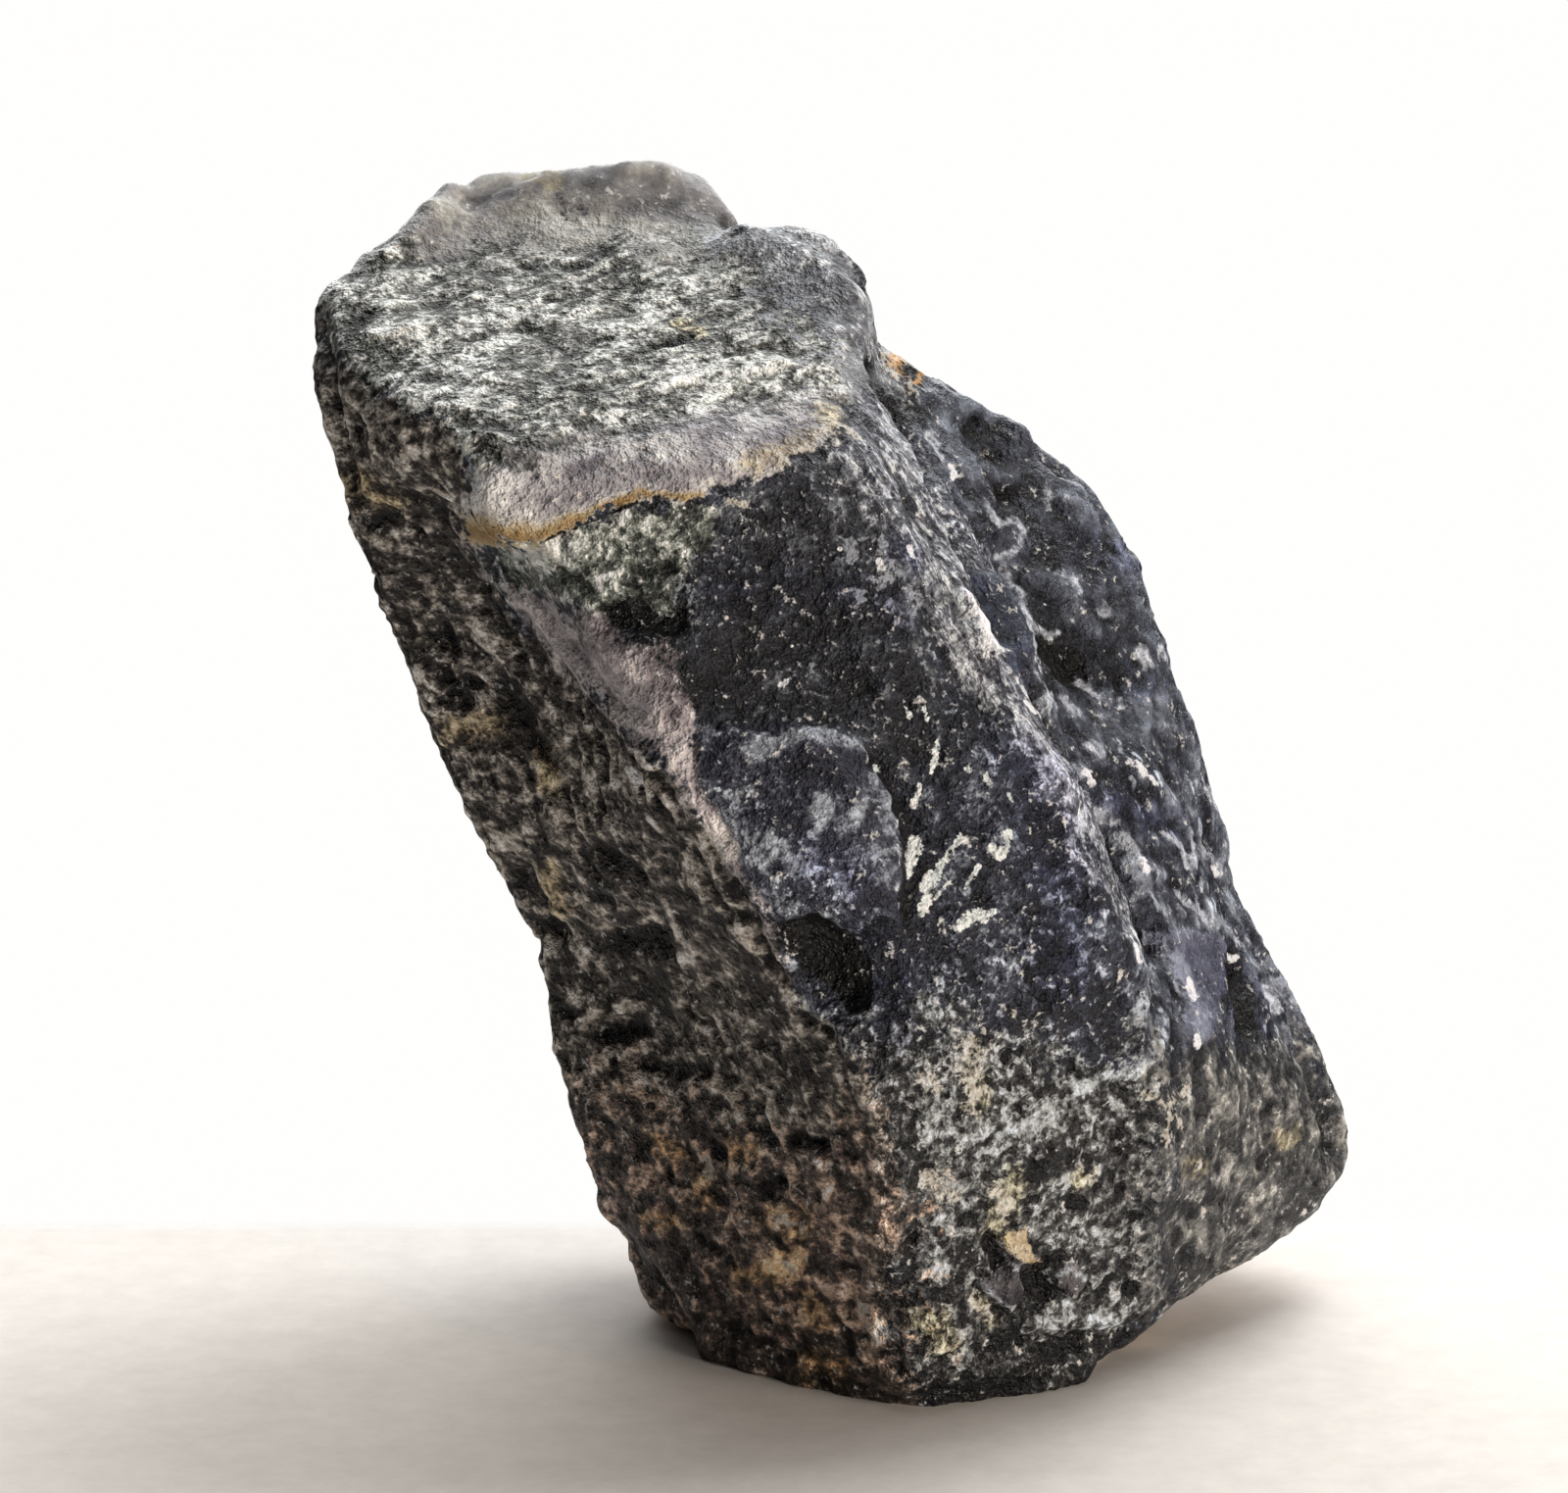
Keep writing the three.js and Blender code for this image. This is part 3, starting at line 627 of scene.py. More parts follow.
    (-0.9, 8, (805, 1000), (815, 1015)), (-1.4, 11, (880, 1062), (905, 1085)),
    (-0.9, 8, (765, 1215), (780, 1235)), (-1.0, 7, (818, 1255), (830, 1262)),
    (-1.3, 10, (385, 535), (400, 525)), (-1.5, 7, (448, 470), (460, 490)),
    (-1.5, 9, (450, 550), (475, 575)), (-1.4, 8, (470, 575), (490, 600)), (-1.7, 8, (500, 620), (530, 670)),
    (-1.8, 8, (452, 640), (462, 665)), (-1.2, 10, (430, 670), (445, 685)),
    (-1.7, 12, (455, 695), (475, 715)), (-1.8, 18, (515, 700), (545, 758)),
    (-1.2, 8, (555, 705), (575, 720)), (-1.0, 10, (375, 560), (395, 590)),
    (-1.0, 8, (385, 600), (405, 630)), (-1.2, 14, (610, 870), (650, 890)),
    (-1.6, 6, (550, 840), (555, 880)), (-2.4, 13, (625, 963), (678, 960)),
    (-1.9, 10, (610, 1058), (655, 1050)), (-1.0, 7, (655, 1088), (725, 1092)),
    (-2.0, 6, (668, 815), (680, 835)), (-1.5, 6, (700, 845), (722, 835)), (-1.6, 5, (550, 948), (570, 952)),
    (-1.3, 8, (525, 900), (535, 912)), (-1.2, 8, (568, 980), (575, 1010)),
    (-1.0, 8, (590, 985), (612, 990)), (-1.4, 9, (752, 905), (780, 980)),
    (-1.2, 12, (640, 1005), (680, 1020)), (-1.2, 8, (590, 820), (580, 790)),
    (-1.8, 7, (810, 1160), (838, 1168)), (-1.8, 9, (768, 1215), (792, 1205)),
    (-1.5, 8, (705, 1130), (720, 1120)), (-1.4, 6, (848, 1195), (870, 1210)),
    (-1.3, 8, (705, 1300), (712, 1320)), (-1.4, 6, (738, 1288), (742, 1292)),
    (-1.6, 4, (840, 1365), (862, 1362)), (-1.0, 26, (650, 1265), (690, 1320)),
    # Darker along the foot on this line: painted shade where the stone meets the floor.
    (-1.2, 18, (720, 1370), (800, 1385)), (-1.2, 12, (860, 1405), (930, 1430)),
    (-1.5, 9, (716, 1152), (735, 1175)), (-1.5, 7, (742, 1080), (770, 1088)),
    (-1.2, 9, (600, 1130), (620, 1150)),
    # Left face, lighter
    (1.1, 9, (425, 468), (452, 474)), (0.8, 9, (365, 420), (375, 450)), (1.5, 10, (478, 712), (500, 698)),
    (1.5, 12, (550, 765), (582, 785)), (1.1, 9, (548, 722), (572, 745)), (1.0, 8, (560, 950), (580, 955)),
    (0.9, 8, (690, 1050), (715, 1052)), (0.9, 10, (835, 1120), (848, 1165)),
    (1.0, 12, (845, 1262), (880, 1275)), (0.9, 10, (862, 1325), (885, 1335)),
    (0.8, 8, (768, 1130), (790, 1160)), (0.9, 9, (778, 1310), (770, 1330)),
    (1.1, 5, (470, 600), (490, 640), (510, 670), (540, 700)), (1.0, 5, (480, 590), (500, 620)),
    (1.3, 7, (518, 655), (530, 690)), (0.9, 4, (440, 470), (460, 520), (470, 545)),
    (1.6, 8, (474, 458), (484, 490)), (1.2, 5, (455, 690), (485, 688)), (0.9, 10, (460, 745), (510, 740)),
    (0.8, 8, (352, 490), (380, 500), (400, 515)), (1.3, 9, (560, 760), (550, 790), (565, 810)),
    (1.5, 6, (570, 790), (582, 800)), (1.2, 4, (525, 780), (530, 800)), (2.0, 3, (640, 785), (652, 802)),
    (0.8, 8, (600, 790), (640, 800), (650, 815)), (0.8, 7, (510, 850), (545, 880)),
    (1.3, 9, (535, 885), (560, 905)), (0.9, 9, (565, 880), (575, 930)), (1.7, 4, (595, 905), (600, 915)),
    (1.0, 6, (655, 925), (665, 945)), (1.3, 3, (658, 890), (668, 876), (690, 874), (702, 886)),
    (1.5, 4, (700, 800), (716, 830), (720, 860), (730, 890)), (1.0, 8, (690, 950), (700, 980), (720, 1000)),
    (1.6, 7, (582, 1005), (590, 1018)), (1.3, 6, (635, 1025), (650, 1035)),
    (0.9, 9, (710, 1010), (725, 1040)), (0.8, 8, (660, 1070), (720, 1072)),
    (1.2, 9, (770, 960), (800, 1000), (840, 1040)), (1.0, 6, (830, 1050), (850, 1075)),
    (1.0, 10, (725, 1115), (750, 1105)), (0.8, 12, (665, 1100), (690, 1130)),
    (1.1, 8, (755, 1140), (790, 1135)), (0.9, 6, (826, 1120), (834, 1122)),
    (0.9, 10, (835, 1215), (850, 1240)), (-1.2, 18, (612, 885), (640, 930)),
    (-1.0, 16, (650, 905), (670, 900)), (-1.1, 16, (640, 985), (672, 990)),
    (1.6, 9, (560, 948), (580, 952)), (1.5, 12, (550, 752), (562, 778)), (1.2, 6, (584, 790), (580, 830)),
    (1.2, 8, (660, 790), (672, 800)), (1.2, 7, (752, 900), (758, 930)), (1.1, 9, (700, 970), (750, 1000)),
    (-1.0, 12, (765, 985), (775, 1000)), (-1.0, 9, (785, 1030), (795, 1048)),
    (-1.1, 9, (770, 1080), (780, 1090)), (-1.2, 10, (808, 1108), (820, 1112)),
    (1.1, 10, (765, 1125), (790, 1155)), (1.0, 12, (835, 1150), (845, 1180)),
    (-1.0, 10, (685, 1140), (695, 1150)), (1.1, 10, (860, 1320), (880, 1345)),
    (-1.1, 9, (845, 1370), (852, 1385)),
    # Spots low on the left face
    (1.4, 6, (665, 1160), (690, 1165), (695, 1185)), (1.7, 6, (718, 1180), (726, 1200)),
    (1.8, 6, (710, 1210), (722, 1230)), (1.2, 8, (655, 1195), (680, 1215)),
    (1.7, 7, (662, 1242), (688, 1245)), (1.5, 5, (745, 1172), (762, 1172)),
    (1.7, 6, (785, 1235), (800, 1250), (820, 1255)), (1.7, 9, (795, 1295), (810, 1280)),
    (1.2, 5, (735, 1265), (770, 1255)), (1.1, 6, (760, 1300), (790, 1295)),
    (1.4, 4, (805, 1305), (830, 1305)), (1.5, 5, (825, 1320), (838, 1340), (815, 1345)),
    (1.9, 5, (848, 1235), (862, 1250), (872, 1266)), (1.8, 5, (878, 1290), (890, 1295)),
    (1.7, 11, (876, 1318), (890, 1345), (888, 1368)), (1.0, 8, (840, 1310), (860, 1330)),
    (1.1, 8, (825, 1385), (855, 1400)), (1.1, 4, (785, 1360), (805, 1370)),
    (0.9, 6, (876, 1396), (886, 1400)),
    # The plate
    (2.2, 10, (768, 768), (786, 760)), (2.0, 6, (800, 756), (824, 752)),
    (2.1, 7, (824, 748), (850, 756), (872, 762)), (1.6, 4, (719, 744), (731, 745)),
    (1.8, 7, (700, 758), (702, 782)), (2.0, 11, (756, 806), (750, 816)), (1.3, 6, (775, 820), (782, 822)),
    (2.2, 8, (842, 818), (838, 840)), (2.2, 6, (882, 812), (872, 832)), (1.8, 6, (860, 843), (870, 838)),
    (2.1, 8, (796, 860), (806, 876)), (2.0, 10, (730, 840), (750, 868)), (1.1, 5, (862, 862), (868, 860)),
    (2.2, 9, (893, 800), (905, 826), (912, 848)), (1.7, 6, (912, 866), (917, 905)),
    (1.9, 4, (843, 930), (860, 945)), (2.0, 5, (866, 948), (876, 950), (886, 938)),
    (1.5, 3, (890, 925), (905, 938)), (1.4, 10, (770, 880), (790, 915), (806, 934)),
    (-1.0, 6, (765, 892), (776, 900)), (1.0, 16, (820, 880), (850, 900)), (1.0, 14, (870, 870), (895, 880)),
    (-1.2, 14, (730, 778), (745, 790)), (-1.6, 16, (815, 785), (850, 785)),
    (-1.2, 12, (860, 780), (880, 790)), (-1.2, 10, (790, 830), (810, 840)),
    (-1.0, 9, (880, 916), (900, 916)),
    # Darker down the plate's right edge and under it: a dark gap and hollow, deepened by painted shade.
    (-2.0, 8, (895, 780), (918, 815), (928, 850), (928, 900), (926, 950)),
    (-2.0, 14, (800, 955), (840, 985), (860, 975)), (-0.5, 10, (825, 885), (850, 905)),
    (-1.5, 16, (900, 965), (905, 1010)), (-1.2, 8, (886, 948), (896, 940)),
    (-1.1, 12, (850, 975), (876, 990)), (0.8, 9, (862, 1030), (890, 1032)),
    (0.8, 9, (735, 775), (750, 790)),
    # Front face right of the plate
    (-1.8, 14, (962, 968), (982, 985)), (1.2, 11, (965, 898), (985, 905)),
    (1.2, 11, (1012, 905), (1040, 925)), (1.0, 8, (1055, 892), (1070, 905)),
    (0.9, 10, (1095, 935), (1110, 962)), (1.5, 13, (1110, 1060), (1140, 1078)),
    (1.0, 8, (1105, 1020), (1112, 1045)), (-1.3, 7, (1035, 1042), (1078, 1034)),
    (-1.0, 7, (1008, 1058), (1022, 1062)), (-1.2, 8, (1112, 1006), (1130, 1012)),
    (1.4, 15, (1025, 765), (1052, 785)), (1.0, 13, (1005, 825), (1025, 855)),
    (-1.1, 9, (975, 790), (968, 850), (955, 880)), (-0.9, 9, (955, 735), (978, 745)),
    (1.0, 7, (1015, 1015), (1045, 1020)), (-1.0, 8, (1040, 965), (1048, 990)),
    (0.8, 8, (950, 665), (962, 690)), (-0.9, 9, (940, 910), (935, 935)),
    (-1.1, 20, (1056, 860), (1066, 985)), (-1.5, 10, (1070, 1020), (1095, 1035)),
    (-1.6, 13, (1115, 1045), (1130, 1060)), (-1.2, 10, (1035, 1035), (1045, 1036)),
    (-1.4, 12, (1105, 910), (1132, 925)), (-1.2, 14, (900, 990), (930, 1040)),
    (-1.3, 14, (985, 905), (1000, 915)), (-1.2, 14, (985, 740), (1010, 745)),
    (-0.8, 20, (930, 720), (940, 760)), (1.0, 14, (1025, 775), (1055, 800)),
    (1.2, 4, (1055, 900), (1090, 895), (1118, 905)), (1.2, 5, (1100, 945), (1142, 950)),
    (1.1, 8, (1000, 985), (1035, 980)), (0.9, 10, (1010, 1000), (1030, 960)),
    (1.3, 3, (1035, 955), (1050, 960), (1052, 980)), (1.3, 5, (1025, 900), (1035, 925)),
    (1.4, 4, (1095, 930), (1100, 960), (1125, 990)), (1.4, 4, (1062, 1005), (1075, 1005)),
    (1.6, 5, (930, 1034), (958, 1036)), (1.2, 4, (932, 1014), (962, 1012)),
    (1.1, 5, (960, 1060), (1000, 1050), (1020, 1035)), (1.2, 5, (948, 690), (952, 660)),
    (1.1, 5, (935, 700), (945, 720)), (1.3, 7, (992, 782), (1000, 790)), (1.4, 4, (1010, 790), (1016, 800)),
    (1.5, 4, (1030, 800), (1035, 816)), (1.2, 4, (925, 780), (920, 800)),
    (1.3, 16, (1012, 735), (1030, 760)), (1.2, 13, (1035, 770), (1045, 800)),
    (-2.0, 9, (1038, 1042), (1085, 1032)), (-1.5, 9, (917, 842), (922, 885)),
    (-1.4, 6, (936, 905), (944, 880), (954, 866)), (-1.2, 12, (905, 920), (925, 955)),
    (-1.2, 10, (965, 775), (990, 782)), (-1.0, 9, (1050, 812), (1062, 825)),
    (1.1, 9, (1092, 925), (1096, 990)), (-1.3, 10, (970, 978), (985, 992)),
    (-1.0, 9, (985, 905), (992, 925)), (-1.1, 9, (1100, 1010), (1110, 1016)),
    (-1.0, 12, (905, 725), (925, 745)), (-1.1, 12, (870, 800), (890, 805)),
    (-1.0, 10, (935, 1055), (945, 1060)),
    # Ridge; its first stroke, along the crest, is a painted highlight
    (2.0, 8, (980, 612), (992, 645), (1004, 664)), (-1.0, 8, (1085, 860), (1105, 882)),
    (-1.2, 9, (1150, 940), (1168, 958)), (1.2, 5, (955, 600), (975, 650), (985, 700)),
    (1.2, 5, (1000, 700), (1050, 750), (1085, 810)), (1.4, 4, (1092, 835), (1110, 865), (1130, 886)),
    (1.4, 5, (1085, 845), (1095, 875), (1140, 930), (1152, 945)),
    (2.2, 5, (1152, 948), (1162, 968), (1168, 986)), (1.3, 5, (1150, 1000), (1166, 1040)),
    (-1.4, 5, (1100, 860), (1118, 880)), (-1.6, 6, (918, 500), (926, 535)),
    (1.1, 8, (910, 572), (925, 565)), (1.0, 6, (905, 430), (940, 480), (960, 520)),
    (-1.0, 8, (1000, 730), (1015, 745)), (0.9, 4, (1010, 665), (1022, 690)),
    (0.5, 5, (1002, 622), (1012, 645)), (1.2, 8, (912, 550), (918, 566)), (-1.2, 8, (946, 618), (955, 632)),
    (-1.3, 10, (892, 385), (915, 412), (932, 426)), (-1.0, 8, (870, 448), (890, 440)),
    (-1.0, 8, (862, 460), (880, 470)), (0.8, 10, (965, 520), (980, 545)),
    (-1.6, 7, (1058, 732), (1078, 765), (1098, 800)),
    # Fibres curling round under the ridge
    (1.6, 8, (1186, 1040), (1186, 1062), (1162, 1084), (1130, 1100), (1100, 1112)),
    (1.4, 4, (1100, 1086), (1150, 1080), (1172, 1068)), (1.2, 5, (1130, 1110), (1155, 1150), (1160, 1180)),
    # Lower front; its darker strokes low along the foot are painted shade where the stone meets the floor
    (-0.9, 15, (920, 1120), (926, 1190), (922, 1250), (915, 1320)), (1.4, 12, (955, 1210), (978, 1215)),
    (1.3, 8, (1032, 1208), (1018, 1240), (1012, 1260)), (1.1, 12, (965, 1245), (978, 1255)),
    (1.3, 8, (945, 1280), (962, 1290)), (-1.9, 9, (1010, 1265), (1020, 1285)),
    (-2.2, 15, (1052, 1300), (1062, 1320)), (-1.5, 16, (1040, 1345), (1020, 1372)),
    (-2.0, 6, (1065, 1283), (1080, 1285)), (-1.8, 10, (1058, 1190), (1082, 1180)),
    (-1.3, 10, (990, 1245), (1005, 1262)), (-1.2, 16, (930, 1330), (935, 1380)),
    (0.9, 9, (1062, 1345), (1092, 1340), (1132, 1352)), (1.4, 4, (1158, 1352), (1168, 1338)),
    (-1.0, 12, (960, 1400), (1040, 1400)), (1.5, 10, (1045, 1150), (1075, 1135)),
    (1.2, 12, (1010, 1155), (1030, 1150)), (1.0, 10, (1085, 1210), (1110, 1205)),
    (1.0, 12, (1095, 1255), (1130, 1260)), (-1.0, 12, (1095, 1240), (1105, 1225)),
    (1.4, 6, (995, 1322), (1000, 1338), (1012, 1345)), (1.0, 12, (1110, 1130), (1130, 1125)),
    (-0.8, 12, (1130, 1180), (1140, 1200)), (0.8, 18, (960, 1150), (1000, 1180)),
    (-1.4, 9, (1105, 1285), (1122, 1290)), (-0.9, 10, (970, 1310), (980, 1325)),
    (2.0, 9, (935, 1358), (955, 1368)), (-1.4, 12, (925, 1395), (960, 1415)),
    (1.1, 9, (985, 1228), (995, 1245)), (1.0, 12, (975, 1078), (1000, 1085)),
    (0.9, 12, (930, 1118), (955, 1122)), (0.9, 12, (1000, 1118), (1020, 1125)),
    (-1.0, 8, (1060, 1212), (1070, 1222)), (-1.1, 8, (942, 1258), (948, 1272)),
    (1.0, 12, (1020, 1272), (1045, 1290)), (-1.1, 9, (1112, 1170), (1118, 1190)),
    (-0.9, 8, (1125, 1130), (1135, 1140)), (-1.0, 8, (1158, 1300), (1180, 1298)),
    (-1.8, 12, (1050, 1398), (1100, 1386), (1150, 1366)), (-1.2, 12, (880, 1420), (980, 1425)),
    (-1.0, 8, (990, 1345), (1020, 1342)), (-0.9, 8, (1098, 1238), (1108, 1246)),
    (-2.0, 16, (760, 1402), (830, 1416), (930, 1434)),
    (-2.0, 14, (950, 1430), (1050, 1408), (1110, 1385), (1160, 1368)),
    (-1.4, 14, (1060, 1392), (1100, 1380)), (-1.3, 10, (985, 1260), (995, 1290)),
    (-1.2, 9, (905, 1380), (915, 1390)), (-1.2, 9, (918, 1225), (930, 1235)),
    (-1.0, 10, (940, 1265), (952, 1270)), (-1.0, 9, (1100, 1235), (1108, 1250)),
    (-1.2, 12, (1150, 1148), (1160, 1190)), (1.2, 9, (975, 1245), (990, 1240)),
    (-1.0, 10, (970, 1180), (1000, 1195)), (-1.0, 10, (1100, 1180), (1120, 1190)),
    (1.0, 12, (1010, 1270), (1025, 1262)), (-1.0, 9, (1150, 1300), (1165, 1345)),
    # Wing and folds
    (-1.2, 16, (1000, 458), (1030, 470)), (0.8, 8, (985, 415), (1005, 420)),
    (-1.2, 11, (1062, 565), (1100, 572)), (0.8, 8, (1060, 604), (1074, 612)),
    (-1.2, 8, (1060, 638), (1090, 646)), (-0.9, 9, (1150, 690), (1162, 704)),
    (1.4, 14, (1190, 760), (1212, 772)), (1.0, 10, (1128, 782), (1155, 790)),
    (0.9, 12, (1130, 830), (1200, 832)), (-0.9, 8, (1160, 768), (1178, 772)),
    (-1.6, 13, (1262, 975), (1268, 1030), (1280, 1070)), (-1.3, 9, (1245, 1040), (1242, 1075)),
    (-1.0, 10, (1190, 1005), (1195, 1040)), (0.9, 8, (1115, 930), (1135, 925)),
    (0.8, 9, (1070, 515), (1100, 545)), (-0.8, 9, (1040, 575), (1046, 600)),
    (-0.8, 10, (1150, 610), (1165, 640)), (0.8, 10, (1135, 580), (1150, 590)),
    (-1.0, 8, (1110, 745), (1125, 752)), (-0.8, 8, (995, 510), (1000, 530)),
    (0.8, 10, (1230, 930), (1245, 950)), (-1.7, 14, (985, 440), (1010, 446)),
    (-1.5, 14, (1022, 500), (1045, 505)), (-1.6, 5, (918, 418), (945, 424)),
    (1.3, 5, (950, 440), (962, 465)), (1.4, 5, (968, 470), (980, 488)), (1.0, 6, (993, 470), (996, 478)),
    (0.8, 8, (1068, 498), (1078, 528)), (1.3, 4, (1020, 525), (1028, 532)),
    (1.2, 5, (1038, 532), (1046, 560)), (1.4, 5, (1010, 568), (1028, 572)),
    (1.0, 5, (1085, 585), (1100, 592)), (0.7, 8, (1050, 590), (1080, 600), (1110, 640)),
    (1.5, 5, (1122, 622), (1130, 628)), (0.9, 4, (1105, 695), (1120, 712)),
    (1.1, 4, (1083, 712), (1098, 728)), (1.2, 4, (1070, 714), (1076, 726)),
    (1.1, 4, (1143, 715), (1148, 722)), (1.4, 5, (1163, 662), (1172, 678)),
    (1.2, 4, (1182, 664), (1184, 672)), (1.0, 8, (1182, 640), (1200, 690), (1214, 730)),
    (-1.0, 18, (1080, 560), (1130, 575)), (-0.7, 16, (1140, 680), (1180, 690)),
    (-1.9, 5, (1048, 690), (1066, 722), (1078, 762), (1098, 802)), (1.5, 5, (1110, 762), (1122, 772)),
    (1.4, 6, (1100, 785), (1112, 800)), (1.3, 5, (1150, 776), (1160, 790), (1175, 800)),
    (-1.8, 9, (1140, 790), (1150, 800), (1180, 812)), (-1.8, 10, (1150, 830), (1175, 838), (1198, 842)),
    (0.8, 12, (1105, 815), (1140, 840)), (1.2, 4, (1148, 850), (1166, 885), (1178, 910)),
    (-1.4, 8, (1140, 870), (1150, 905)), (-1.5, 13, (1072, 668), (1108, 688)),
    (0.9, 10, (1080, 600), (1106, 614)), (0.8, 8, (1085, 628), (1110, 640)),
    (-1.0, 8, (1108, 622), (1120, 640)), (-1.2, 10, (1120, 660), (1135, 690)),
    (-1.4, 9, (1010, 745), (1030, 780)), (0.9, 9, (1090, 700), (1110, 725)),
    (0.8, 12, (1130, 740), (1180, 740)), (1.8, 6, (1161, 876), (1166, 890), (1168, 908)),
    (1.3, 6, (1222, 870), (1246, 888)), (1.6, 8, (1236, 930), (1246, 945)),
    (1.0, 5, (1110, 830), (1150, 850), (1160, 875)), (-1.4, 9, (1150, 840), (1160, 848)),
    (-1.4, 10, (1180, 835), (1196, 830)), (-1.2, 10, (1150, 920), (1165, 945)),
    (-1.0, 8, (1205, 800), (1215, 820)), (-0.8, 12, (1205, 740), (1212, 760)),
    (1.0, 6, (1225, 800), (1235, 812)), (1.2, 5, (1270, 960), (1285, 1010), (1300, 1030)),
    (1.2, 8, (1308, 1052), (1326, 1075)), (-1.5, 12, (1130, 785), (1160, 815)),
    (1.0, 5, (1180, 795), (1205, 830), (1215, 860)), (-1.2, 10, (1175, 870), (1195, 880)),
    (-1.0, 8, (1200, 900), (1215, 925)), (0.9, 4, (1180, 915), (1200, 940)),
    (1.1, 4, (1215, 850), (1222, 890)), (-1.6, 12, (1060, 560), (1090, 568)),
    (-1.5, 9, (1055, 630), (1075, 650)), (-1.6, 9, (1062, 700), (1102, 704)),
    (-1.3, 9, (1148, 692), (1158, 698)), (1.2, 9, (1056, 602), (1076, 612)),
    (0.9, 14, (1000, 500), (1040, 508)), (0.8, 16, (1080, 500), (1110, 545)),
    (-1.1, 10, (1020, 525), (1060, 530)), (0.9, 14, (960, 430), (990, 450)),
    (-1.8, 10, (1066, 730), (1082, 770), (1098, 805)), (-1.2, 9, (1165, 770), (1180, 775)),
    (1.0, 10, (1180, 680), (1190, 705)), (0.9, 12, (1200, 750), (1212, 780)),
    (-1.0, 7, (1224, 820), (1226, 845)), (-1.1, 8, (1128, 805), (1138, 812)),
    (-1.6, 12, (1256, 1025), (1275, 1030)), (-1.0, 12, (1280, 1060), (1310, 1090)),
    (0.9, 10, (1240, 945), (1255, 960)),
    # Violet patch
    (1.3, 7, (1192, 975), (1210, 1000), (1224, 1030), (1228, 1052)), (-1.0, 14, (1232, 975), (1238, 1005)),
    # Lower right corner
    (-0.9, 22, (1345, 1110), (1352, 1170), (1330, 1225)), (-1.4, 9, (1232, 1185), (1235, 1205)),
    (1.2, 8, (1245, 1185), (1248, 1200)), (1.6, 7, (1306, 1166), (1322, 1160)),
    (1.2, 7, (1295, 1150), (1300, 1145)), (1.2, 8, (1255, 1120), (1262, 1135)),
    (-1.3, 8, (1222, 1075), (1226, 1085)), (-1.2, 12, (1175, 1235), (1205, 1225)),
    (-1.0, 10, (1170, 1130), (1180, 1135)), (1.1, 8, (1215, 1250), (1225, 1262)),
    (1.1, 8, (1195, 1195), (1200, 1210)), (1.0, 8, (1285, 1190), (1295, 1210)),
    (0.9, 16, (1335, 1150), (1345, 1190)), (-0.8, 9, (1170, 1170), (1195, 1172)),
    (-1.1, 10, (1290, 1080), (1310, 1090)), (-1.2, 8, (1185, 1180), (1190, 1195)),
    (-1.0, 14, (1190, 1290), (1230, 1290)),
]

# How far noise bends the patches, and its sizes, in pixels, then the share that is taken of a patch's steps,
# and the most that it comes to.
PATCH_BENDS = ((5.0, 30), (4.0, 11), (1.5, 5))
PATCH_SHARE = 0.85
MOST_STEPS = 2.2

